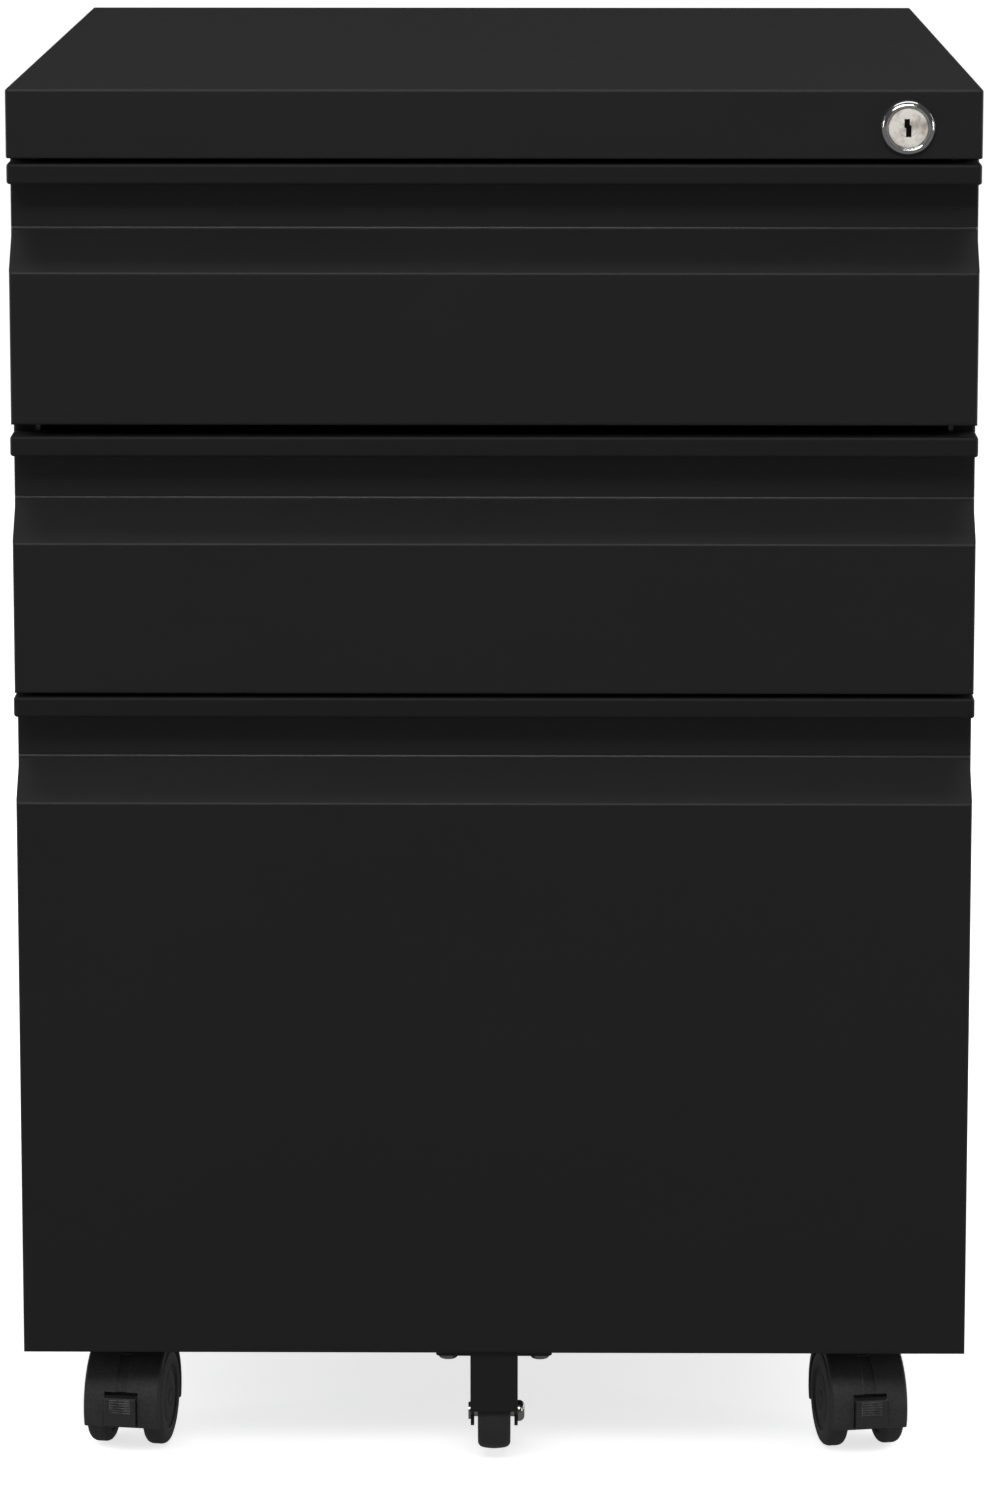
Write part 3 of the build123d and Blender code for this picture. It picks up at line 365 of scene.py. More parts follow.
class Brushing(Effect):
    """Fine parallel lines of drawn or brushed metal, with slow tonal bands."""

    title = "brushing"
    inputs = (("Across X", 900.0), ("Across Y", 4.0), ("Across Z", 900.0))
    outputs = (("Lines", "NodeSocketFloat"), ("Bands", "NodeSocketFloat"))

    @classmethod
    def wire(cls, tree: Tree, source: bpy.types.Node, sink: bpy.types.Node) -> None:
        """Stretches a noise along the grain.

        Args:
            tree: the group's tree.
            source: the node of its inputs.
            sink: the node of its outputs.
        """
        place = tree.add("TexCoord").outputs["Object"]
        scale = tree.add("CombineXYZ", i0=source.outputs[0], i1=source.outputs[1], i2=source.outputs[2])
        drawn = tree.add("VectorMath", operation="MULTIPLY", i0=place, i1=scale.outputs[0])
        lines = tree.add("TexNoise", Vector=drawn.outputs[0], Scale=1.0, Detail=4.0, Roughness=0.6)
        bands = tree.add("TexNoise", Vector=place, Scale=30.0, Detail=3.0, Roughness=0.5)
        tree.join(lines.outputs[0], sink.inputs[0])
        tree.join(bands.outputs[0], sink.inputs[1])


# ---------------------------------------------------------------- finishes


@dataclass(frozen=True)
class Finish:
    """What every finish has: a name, a colour and a gloss."""

    name: str
    colour: Colour
    roughness: float
    specular: float = 0.5

    def build(self) -> bpy.types.Material:
        """Makes the finish's material once, under a name that no imported material has.

        Returns:
            The material.
        """
        title = f"{self.name}_finish"
        found = bpy.data.materials.get(title)
        if found:
            return found
        material = bpy.data.materials.new(title)
        material.use_nodes = True
        material.node_tree.nodes.clear()
        tree = Tree(material.node_tree)
        shader = tree.add("BsdfPrincipled")
        shader.inputs["Specular IOR Level"].default_value = self.specular
        out = tree.add("OutputMaterial")
        tree.join(shader.outputs[0], out.inputs["Surface"])
        self.wire(tree, shader)
        return material

    def wire(self, tree: Tree, shader: bpy.types.Node) -> None:
        """Joins the effects to the shader; each kind of finish has its own."""
        raise NotImplementedError

    def rgba(self, factor: float = 1.0) -> tuple[float, float, float, float]:
        """The colour, lighter or darker, with full alpha."""
        return tuple(min(1.0, c * factor) for c in self.colour) + (1.0,)


@dataclass(frozen=True)
class PowderCoat(Finish):
    """Satin powder coat on folded steel."""

    ripple: float = 260.0
    depth: float = 0.00005
    edge: float = 0.0009
    # How strongly edges are painted lighter: rubbed paint, and at raised values painted sheen lines.
    wear_and_highlight: float = 0.35
    dust: float = 0.05
    fleck: float = 0.35

    def wire(self, tree: Tree, shader: bpy.types.Node) -> None:
        """Grain, flecks, lighter edges (rubbed paint, and painted sheen lines where the wear is raised),
        dust and handling marks.

        Args:
            tree: the material's tree.
            shader: its Principled shader.
        """
        grain = PowderGrain.place(tree, Ripple_Scale=self.ripple)
        edge = SoftEdge.place(tree, Radius=self.edge, Wear=self.wear_and_highlight)
        dust = Dust.place(tree, Amount=self.dust)
        hand = Handling.place(tree, Base=self.roughness, Spread=0.10)
        fleck = tree.math("MULTIPLY", grain.outputs["Fleck"], self.fleck)
        body = tree.blend(fleck, self.rgba(0.85), self.rgba(1.35))
        # Lighter edges: rubbed paint, and where the wear is raised, painted sheen lines.
        rubbed_and_highlight = tree.blend(edge.outputs["Mask"], body, self.rgba(3.2))
        dusty = tree.blend(dust.outputs["Mask"], rubbed_and_highlight, DUST_ON_STEEL)
        tree.join(dusty, shader.inputs["Base Color"])
        tree.join(hand.outputs["Roughness"], shader.inputs["Roughness"])
        bump = tree.add("Bump", Strength=0.35, Distance=self.depth)
        tree.join(grain.outputs["Height"], bump.inputs["Height"])
        tree.join(edge.outputs["Normal"], bump.inputs["Normal"])
        tree.join(bump.outputs[0], shader.inputs["Normal"])


@dataclass(frozen=True)
class MouldedPlastic(Finish):
    """Moulded nylon or extruded strip with a fine spark-eroded texture."""

    texture: float = 900.0
    depth: float = 0.00008
    edge: float = 0.0004
    wear_and_highlight: float = 0.4
    # How much lighter edges are painted: rubbed plastic, and at large values (hood, brake) painted
    # highlight lines.
    rubbed_and_highlight: float = 3.4
    dust: float = 0.05

    def wire(self, tree: Tree, shader: bpy.types.Node) -> None:
        """Pebbled texture, paler edges (rubbed plastic, and painted highlight lines where the rubbed tone
        is large) and dust.

        Args:
            tree: the material's tree.
            shader: its Principled shader.
        """
        place = tree.add("TexCoord").outputs["Object"]
        pebble = tree.add("TexVoronoi", Vector=place, Scale=self.texture)
        fine = tree.add("TexNoise", Vector=place, Scale=self.texture * 1.7, Detail=3.0)
        height = tree.math("ADD", pebble.outputs["Distance"], fine.outputs[0])
        edge = SoftEdge.place(tree, Radius=self.edge, Wear=self.wear_and_highlight, Wear_Scale=180.0)
        dust = Dust.place(tree, Amount=self.dust, Scale=60.0)
        hand = Handling.place(tree, Base=self.roughness, Spread=0.12)
        tone = tree.remap(pebble.outputs["Distance"], 0.0, 0.7, 0.0, 1.0)
        body = tree.blend(tone, self.rgba(0.8), self.rgba(1.3))
        # Paler edges: rubbed plastic, and with a large factor painted highlight lines.
        rubbed_and_highlight = tree.blend(edge.outputs["Mask"], body, self.rgba(self.rubbed_and_highlight))
        dusty = tree.blend(dust.outputs["Mask"], rubbed_and_highlight, DUST_ON_PLASTIC)
        tree.join(dusty, shader.inputs["Base Color"])
        tree.join(hand.outputs["Roughness"], shader.inputs["Roughness"])
        bump = tree.add("Bump", Strength=0.5, Distance=self.depth)
        tree.join(height, bump.inputs["Height"])
        tree.join(edge.outputs["Normal"], bump.inputs["Normal"])
        tree.join(bump.outputs[0], shader.inputs["Normal"])


@dataclass(frozen=True)
class PlatedSteel(Finish):
    """Zinc-plated or bright steel, drawn one way, with crystal bloom."""

    grain: Grain = Grain.ALONG_Y
    tint: Colour = (0.62, 0.60, 0.50)
    depth: float = 0.00003
    edge: float = 0.0003

    def wire(self, tree: Tree, shader: bpy.types.Node) -> None:
        """Drawn lines, a cloudy passivated tint and brighter edges.

        Args:
            tree: the material's tree.
            shader: its Principled shader.
        """
        x, y, z = self.grain.value
        lines = Brushing.place(tree, Across_X=x, Across_Y=y, Across_Z=z)
        edge = SoftEdge.place(tree, Radius=self.edge, Wear=0.5, Wear_Scale=200.0)
        place = tree.add("TexCoord").outputs["Object"]
        spangle = tree.add("TexVoronoi", Vector=place, Scale=320.0)
        crystal = tree.remap(spangle.outputs["Color"], 0.0, 1.0, 0.0, 0.22)
        bloom = tree.remap(lines.outputs["Bands"], 0.35, 0.7, 0.0, 0.5)
        body = tree.blend(bloom, self.rgba(), self.tint + (1.0,))
        faceted = tree.blend(crystal, body, self.rgba(0.7))
        bright = tree.blend(edge.outputs["Mask"], faceted, self.rgba(1.3))
        tree.join(bright, shader.inputs["Base Color"])
        shader.inputs["Metallic"].default_value = 1.0
        rough = tree.remap(lines.outputs["Lines"], 0.3, 0.7,
                           self.roughness - 0.08, self.roughness + 0.08)
        tree.join(rough, shader.inputs["Roughness"])
        bump = tree.add("Bump", Strength=0.3, Distance=self.depth)
        tree.join(lines.outputs["Lines"], bump.inputs["Height"])
        tree.join(edge.outputs["Normal"], bump.inputs["Normal"])
        tree.join(bump.outputs[0], shader.inputs["Normal"])


@dataclass(frozen=True)
class Chrome(Finish):
    """Polished chrome plate with hairline polishing marks."""

    edge: float = 0.00025

    def wire(self, tree: Tree, shader: bpy.types.Node) -> None:
        """Nearly mirror, with a faint haze that varies.

        Args:
            tree: the material's tree.
            shader: its Principled shader.
        """
        place = tree.add("TexCoord").outputs["Object"]
        haze = tree.add("TexNoise", Vector=place, Scale=420.0, Detail=4.0)
        hair = tree.add("TexNoise", Vector=place, Scale=5200.0, Detail=2.0)
        edge = SoftEdge.place(tree, Radius=self.edge, Wear=0.2, Wear_Scale=400.0)
        tone = tree.remap(haze.outputs[0], 0.35, 0.7, 0.0, 0.5)
        body = tree.blend(tone, self.rgba(), self.rgba(0.86))
        tree.join(body, shader.inputs["Base Color"])
        shader.inputs["Metallic"].default_value = 1.0
        rough = tree.remap(haze.outputs[0], 0.3, 0.7, self.roughness * 0.6, self.roughness * 1.6)
        tree.join(rough, shader.inputs["Roughness"])
        bump = tree.add("Bump", Strength=0.08, Distance=0.00001)
        tree.join(hair.outputs[0], bump.inputs["Height"])
        tree.join(edge.outputs["Normal"], bump.inputs["Normal"])
        tree.join(bump.outputs[0], shader.inputs["Normal"])


@dataclass(frozen=True)
class SatinNickel(Finish):
    """Warm nickel face with a fine satin, tarnished in places."""

    centre: Point = (0.0, 0.0, 0.0)
    stain: Colour = (0.30, 0.24, 0.18)

    def wire(self, tree: Tree, shader: bpy.types.Node) -> None:
        """Fine satin specks and clouds of warm tarnish.

        Args:
            tree: the material's tree.
            shader: its Principled shader.
        """
        place = tree.add("TexCoord").outputs["Object"]
        local = tree.add("Mapping", Vector=place, Location=tuple(-c for c in self.centre))
        speck = tree.add("TexNoise", Vector=local.outputs[0], Scale=2600.0, Detail=4.0, Roughness=0.7)
        cloud = tree.add("TexNoise", Vector=local.outputs[0], Scale=210.0, Detail=3.0)
        edge = SoftEdge.place(tree, Radius=0.0002, Wear=0.3, Wear_Scale=500.0)
        tarnish = tree.remap(cloud.outputs[0], 0.42, 0.72, 0.0, 0.85)
        body = tree.blend(tarnish, self.rgba(), self.stain + (1.0,))
        tree.join(body, shader.inputs["Base Color"])
        shader.inputs["Metallic"].default_value = 0.15
        rough = tree.remap(speck.outputs[0], 0.3, 0.7, self.roughness - 0.1, self.roughness + 0.1)
        tree.join(rough, shader.inputs["Roughness"])
        bump = tree.add("Bump", Strength=0.5, Distance=0.00004)
        tree.join(speck.outputs[0], bump.inputs["Height"])
        tree.join(edge.outputs["Normal"], bump.inputs["Normal"])
        tree.join(bump.outputs[0], shader.inputs["Normal"])


@dataclass(frozen=True)
class DarkVoid(Finish):
    """Painted shade: near-black colour put inside a narrow opening."""

    def wire(self, tree: Tree, shader: bpy.types.Node) -> None:
        """Nearly black painted shade, with faint noise in its tone.

        Args:
            tree: the material's tree.
            shader: its Principled shader.
        """
        place = tree.add("TexCoord").outputs["Object"]
        film = tree.add("TexNoise", Vector=place, Scale=900.0, Detail=3.0)
        body = tree.blend(film.outputs[0], self.rgba(0.5), self.rgba(1.5))
        tree.join(body, shader.inputs["Base Color"])
        rough = tree.remap(film.outputs[0], 0.3, 0.7, self.roughness - 0.1, self.roughness + 0.1)
        tree.join(rough, shader.inputs["Roughness"])


# ---------------------------------------------------------------- modelling bench


class Bench:
    """Where new pieces are started, shaped in edit mode and finished."""

    def __init__(self, name: str) -> None:
        """Clears the selection for a new piece.

        Args:
            name: the piece's name.
        """
        self.name = name
        self.piece: bpy.types.Object | None = None
        bpy.ops.object.select_all(action="DESELECT")

    def lathe(self, profile: Sequence[tuple[float, float]], sides: int = 64,
              closed_start: bool = False) -> "Bench":
        """Turns a profile about the Z axis by extruding and scaling one ring.

        Args:
            profile: radius and height of each ring, in metres; a radius of 0 ends it in a point.
            sides: how many sides a ring has.
            closed_start: whether the first ring is filled.

        Returns:
            The bench.
        """
        radius, height = profile[0]
        fill = "NGON" if closed_start else "NOTHING"
        bpy.ops.mesh.primitive_circle_add(vertices=sides, radius=radius, fill_type=fill,
                                          location=(0.0, 0.0, height))
        self.take()
        bpy.ops.object.transform_apply(location=True, rotation=True, scale=True)
        bpy.ops.object.mode_set(mode="EDIT")
        bpy.ops.mesh.select_all(action="SELECT")
        extrude = bpy.ops.mesh.extrude_region_move if closed_start else bpy.ops.mesh.extrude_edges_move
        for next_radius, next_height in profile[1:]:
            extrude(TRANSFORM_OT_translate={"value": (0.0, 0.0, next_height - height)})
            if next_radius == 0.0:
                bpy.ops.mesh.merge(type="CENTER")
            else:
                factor = next_radius / radius
                bpy.ops.transform.resize(value=(factor, factor, 1.0),
                                         center_override=(0.0, 0.0, next_height))
            radius, height = next_radius, next_height
        return self.outward()

    def block(self, low: Point, high: Point) -> "Bench":
        """Starts from a box.

        Args:
            low: lowest corner.
            high: highest corner.

        Returns:
            The bench, in edit mode.
        """
        middle = tuple((a + b) / 2 for a, b in zip(low, high))
        size = tuple(b - a for a, b in zip(low, high))
        bpy.ops.mesh.primitive_cube_add(size=1.0, location=middle, scale=size)
        self.take()
        bpy.ops.object.transform_apply(location=True, rotation=True, scale=True)
        bpy.ops.object.mode_set(mode="EDIT")
        return self

    def take(self) -> None:
        """Names the new primitive and its mesh."""
        self.piece = bpy.context.active_object
        self.piece.name = self.name
        self.piece.data.name = self.name

    def cut(self, places: Iterable[float], axis: Axis) -> "Bench":
        """Bisects the whole mesh at places along an axis.

        Args:
            places: where, in metres.
            axis: along which axis.

        Returns:
            The bench.
        """
        for place in places:
            bpy.ops.mesh.select_all(action="SELECT")
            point = tuple(place * c for c in axis.value)
            bpy.ops.mesh.bisect(plane_co=point, plane_no=axis.value)
        return self

    def choose(self, test: Callable[[Vector, Vector], bool]) -> "Bench":
        """Selects faces by their middle and normal.

        Args:
            test: says whether a face is wanted.

        Returns:
            The bench.
        """
        bpy.ops.mesh.select_all(action="DESELECT")
        bpy.ops.object.mode_set(mode="OBJECT")
        for polygon in self.piece.data.polygons:
            polygon.select = test(polygon.center, polygon.normal)
        bpy.ops.object.mode_set(mode="EDIT")
        bpy.ops.mesh.select_mode(type="FACE")
        return self

    def push(self, step: Point) -> "Bench":
        """Extrudes what is selected by a step."""
        bpy.ops.mesh.extrude_region_move(TRANSFORM_OT_translate={"value": step})
        return self

    def outward(self) -> "Bench":
        """Merges doubles and makes every face point outwards.

        Returns:
            The bench.
        """
        bpy.ops.mesh.select_all(action="SELECT")
        bpy.ops.mesh.remove_doubles(threshold=DOUBLES)
        bpy.ops.mesh.normals_make_consistent(inside=False)
        return self

    def settle(self, place: Point = (0.0, 0.0, 0.0), up: Point | None = None) -> "Bench":
        """Leaves edit mode, turns the piece's Z axis to a direction and moves it to its place.

        Args:
            place: where its origin goes.
            up: the direction that its Z axis takes, or None to leave it unturned.

        Returns:
            The bench.
        """
        if self.piece.mode == "EDIT":
            bpy.ops.object.mode_set(mode="OBJECT")
        if up is not None:
            self.piece.rotation_euler = Vector(up).to_track_quat("Z", "Y").to_euler()
        self.piece.location = place
        bpy.ops.object.transform_apply(location=True, rotation=True, scale=True)
        return self

    def carve(self, cutter: bpy.types.Object) -> "Bench":
        """Cuts another piece out of this one and removes it.

        Args:
            cutter: the closed mesh to cut away.

        Returns:
            The bench.
        """
        self.focus()
        modifier = self.piece.modifiers.new("cut", "BOOLEAN")
        modifier.operation, modifier.object, modifier.solver = "DIFFERENCE", cutter, "EXACT"
        bpy.ops.object.modifier_apply(modifier=modifier.name)
        bpy.data.objects.remove(cutter, do_unlink=True)
        return self

    def soften(self, width: float, segments: int = 2, angle: float = 35.0) -> "Bench":
        """Rounds sharp edges with an applied bevel.

        Args:
            width: the bevel's width in metres.
            segments: how many steps it has.
            angle: edges sharper than this, in degrees, are rounded.

        Returns:
            The bench.
        """
        self.focus()
        modifier = self.piece.modifiers.new("soften", "BEVEL")
        modifier.width, modifier.segments = width, segments
        modifier.limit_method, modifier.angle_limit = "ANGLE", math.radians(angle)
        bpy.ops.object.modifier_apply(modifier=modifier.name)
        return self

    def focus(self) -> None:
        """Makes the piece the only one selected."""
        bpy.ops.object.select_all(action="DESELECT")
        self.piece.select_set(True)
        bpy.context.view_layer.objects.active = self.piece

    def done(self, finish: Finish, slot: str, body: str,
             replaced: str | None = None) -> bpy.types.Object:
        """Args:
            finish: its finish.
            slot: not used.
            body: the body that it rides on.
            replaced: the CAD node that it stands in for.

        Returns:
            The piece.
        """
        self.focus()
        bpy.ops.object.shade_smooth_by_angle(angle=math.radians(SMOOTH_BELOW))
        self.piece.data.materials.clear()
        self.piece.data.materials.append(finish.build())
        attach(self.piece, body)
        if replaced:
            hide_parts(replaced)
        LOG.info("%s rides on %s", self.piece.name, body)
        return self.piece

    def copy(self, name: str) -> "Bench":
        """Starts a new piece from this one's mesh.

        Args:
            name: the new piece's name.

        Returns:
            A bench that holds the copy.
        """
        made = Bench(name)
        made.piece = self.piece.copy()
        made.piece.data = self.piece.data.copy()
        made.piece.name = made.piece.data.name = name
        bpy.context.scene.collection.objects.link(made.piece)
        made.focus()
        return made


# ---------------------------------------------------------------- dressing the CAD nodes


@dataclass
class Carcass:
    """Shell, cap, pan, posts and what is fixed to them."""

    shell: Finish = PowderCoat("shell_paint", (0.0135, 0.0135, 0.0137), 0.45, 0.43, dust=0.006)
    cap: Finish = PowderCoat("cap_paint", (0.0135, 0.0135, 0.0137), 0.45, 0.43, dust=0.006)
    posts: Finish = PlatedSteel("zinc", (0.56, 0.57, 0.58), 0.36, grain=Grain.ALONG_Z)
    guide: Finish = MouldedPlastic("guide_plastic", (0.62, 0.62, 0.58), 0.5, texture=500.0)

    def dress(self, nodes: dict[str, bpy.types.Object]) -> None:
        """Gives each node its finish.

        Args:
            nodes: the CAD nodes by name.
        """
        paint(nodes, ("cabinet_shell", "base_pan"), self.shell)
        paint(nodes, ("top_cap",), self.cap)
        plated = ("uprights", "lock_bar", "lock_nut", "caster_stems", "lock_cam", "file_rails")
        paint(nodes, plated, self.posts)
        paint(nodes, ("lock_bar_guides",), self.guide)


@dataclass
class Drawers:
    """Fronts, pulls, trays, screws and slides."""

    count: int = 3
    recess: float = 16.0 * MM
    to_crease: float = 27.5 * MM
    bead: float = 0.8 * MM
    bead_sunk: float = 0.1 * MM
    front: Finish = PowderCoat("front_paint", (0.0132, 0.0131, 0.0132), 0.45, 0.43, dust=0.0)
    # Painted highlight: the bead's colour is nearly twice the front's, to show a light line along the
    # crease.
    crease_highlight: Finish = PowderCoat("crease_highlight_paint", (0.0240, 0.0235, 0.0240), 0.30, 0.70, dust=0.0)
    pull: Finish = PowderCoat("pull_plastic", (0.0095, 0.0095, 0.0091), 0.55, 0.34,
                              ripple=340.0, dust=0.0)
    tray: Finish = PowderCoat("tray_paint", (0.0150, 0.0150, 0.0155), 0.50, 0.40, dust=0.02)
    slide: Finish = PlatedSteel("slide_zinc", (0.66, 0.67, 0.69), 0.28, grain=Grain.ALONG_Y)
    balls: Finish = Chrome("ball_steel", (0.70, 0.70, 0.71), 0.12)
    screws: Finish = PlatedSteel("screw_steel", (0.50, 0.50, 0.51), 0.32, grain=Grain.ALONG_X)

    def dress(self, nodes: dict[str, bpy.types.Object]) -> None:
        """Gives each node its finish.

        Args:
            nodes: the CAD nodes by name.
        """
        for n in range(1, self.count + 1):
            paint(nodes, (f"drawer_{n}_front",), self.front)
            paint(nodes, (f"drawer_{n}_pull",), self.pull)
            paint(nodes, (f"drawer_{n}_tray",), self.tray)
            paint(nodes, (f"drawer_{n}_screws",), self.screws)
            paint(nodes, [f"slide_{n}_{part}" for part in ("outer", "middle", "inner")], self.slide)
            paint(nodes, [f"slide_{n}_{part}_cage" for part in ("outer", "inner")], self.balls)
            paint(nodes, (f"drawer_{n}_catch",), self.screws)
        self.crease_beads()

    def crease_beads(self) -> None:
        """Small rolled bead where each finger recess meets its slope, painted lighter and glossier than the
        front as a painted highlight line.
        """
        first: Bench | None = None
        for n in range(1, self.count + 1):
            low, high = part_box(f"drawer_{n}_front")
            pull_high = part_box(f"drawer_{n}_pull")[1]
            crease_y, crease_z = low.y + self.recess, pull_high.z - self.to_crease
            name = f"drawer_{n}_crease_highlight_bead"
            if first is None:
                bench = first = Bench(name)
                radius = self.bead
                bench.block((low.x, crease_y - radius, -radius),
                            (high.x, crease_y + self.bead_sunk, radius))
                bench.choose(lambda middle, normal: normal.y < -0.9)
                bpy.ops.mesh.bevel(offset=0.75 * radius, segments=4, affect="EDGES")
                bench.outward().settle((0.0, 0.0, crease_z))
                height = crease_z
            else:
                bench = first.copy(name)
                bench.settle((0.0, 0.0, crease_z - height))
            bench.done(self.crease_highlight, "front_paint", f"drawer_{n}")


@dataclass
class Lock:
    """Cam lock at the cap's right: its turned bezel and barrel, and a plug with a keyway."""

    barrel_length: float = 25.0 * MM
    bezel_proud: float = 3.0 * MM
    keyway: tuple[float, float] = (2.2 * MM, 7.3 * MM)
    keyway_kink: float = 0.55 * MM
    keyway_ahead: float = 4 * MM
    keyway_depth: float = 5 * MM
    upper_from: float = 0.1 * MM
    lower_to: float = 1.2 * MM
    rim: float = 0.12 * MM
    # Size of the near-black block inside the keyway, which is painted shade.
    shade_block_front: float = 1.1 * MM
    shade_block_back: float = 4.5 * MM
    shade_block_wider: float = 0.5 * MM
    shade_block_shorter: float = 0.2 * MM
    shade_block_step: float = 1.3 * MM
    shade_block_raised: float = 0.15 * MM
    chrome: Finish = Chrome("lock_chrome", (0.93, 0.93, 0.94), 0.10)
    # Near-black finish of that block: painted shade.
    void: Finish = DarkVoid("keyway_dark", (0.004, 0.004, 0.004), 0.6, 0.1)

    def dress(self, nodes: dict[str, bpy.types.Object]) -> None:
        """Builds the lock's visible pieces over its nodes.

        Args:
            nodes: the CAD nodes by name.
        """
        low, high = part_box("lock_housing")
        axis_x, axis_z = (low.x + high.x) / 2, (low.z + high.z) / 2
        seat = low.y + self.bezel_proud
        nickel = SatinNickel("lock_nickel", (0.95, 0.91, 0.84), 0.40, centre=(axis_x, seat, axis_z))
        self.housing(axis_x, seat, axis_z)
        self.plug(axis_x, seat, axis_z, nickel)
        paint(nodes, ("lock_housing",), self.chrome)
        paint(nodes, ("lock_plug",), nickel)

    def housing(self, x: float, seat: float, z: float) -> None:
        """Turns the bezel and barrel; the profile's heights run forward from the bezel's seat.

        Args:
            x: the axis's X.
            seat: Y of the face that the bezel sits on.
            z: the axis's Z.
        """
        back = -(self.barrel_length - self.bezel_proud)
        outline = [(8.06, 1.9), (8.06, back / MM), (9.0, back / MM), (9.5, back / MM + 0.5)]
        outline += [(9.5, 0.0), (11.0, 0.0), (11.0, 0.9), (10.86, 1.5), (10.5, 2.1), (9.95, 2.6)]
        outline += [(9.3, 2.9), (8.9, 3.0), (8.6, 2.85), (8.45, 2.5), (8.4, 1.9), (8.06, 1.9)]
        bench = Bench("lock_bezel").lathe([(r * MM, h * MM) for r, h in outline], sides=96)
        bench.settle((x, seat, z), (0.0, -1.0, 0.0))
        bench.done(self.chrome, "lock_chrome", "root", "lock_housing")

    def plug(self, x: float, seat: float, z: float, nickel: Finish) -> None:
        """Turns the plug, cuts its keyway and fills its inside with a near-black block as painted shade.

        Args:
            x: the axis's X.
            seat: Y of the face that the bezel sits on.
            z: the axis's Z.
            nickel: its finish.
        """
        back = (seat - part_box("lock_plug")[1].y) / MM
        outline = [(4.0, back), (4.0, -19.0), (7.4, -19.0), (7.95, -18.5), (7.95, 1.9)]
        outline += [(7.7, 2.25), (7.2, 2.4), (4.1, 2.4), (3.8, 2.2), (3.65, 2.2)]
        outline += [(3.5, 2.45), (3.2, 2.75), (2.6, 2.8), (0.0, 2.8)]
        profile = [(r * MM, h * MM) for r, h in outline]
        bench = Bench("lock_plug_face").lathe(profile, sides=96, closed_start=True)
        bench.settle((x, seat, z), (0.0, -1.0, 0.0))
        half_width, half_height = self.keyway[0] / 2, self.keyway[1] / 2
        front, deep = seat - self.keyway_ahead, seat + self.keyway_depth
        parts = (("upper", -self.keyway_kink, self.upper_from, half_height),
                 ("lower", 0.25 * self.keyway_kink, -half_height, self.lower_to))
        for name, shift, bottom, top in parts:
            slot = Bench("keyway_" + name)
            slot.block((x + shift - half_width, front, z + bottom),
                       (x + shift + half_width, deep, z + top))
            slot.outward().settle()
            bench.carve(slot.piece)
        bench.soften(self.rim, 2, 50.0)
        bench.done(nickel, "lock_nickel", "lock", "lock_plug")
        # Painted shade: a near-black block that fills the keyway's inside.
        shade_block = Bench("lock_keyway_shade_block")
        wide, tall = half_width + self.shade_block_wider, half_height - self.shade_block_shorter
        shade_block.block((x - wide, seat - self.shade_block_front, z - tall),
                     (x + wide, seat + self.shade_block_back, z + tall))
        shade_block.cut((z - self.shade_block_step, z + self.shade_block_step), Axis.Z)
        shade_block.choose(lambda middle, normal: normal.y < -0.9 and abs(middle.z - z) < MM)
        shade_block.push((0.0, -self.shade_block_raised, 0.0))
        shade_block.outward().settle()
        shade_block.done(self.void, "lock_nickel", "lock")


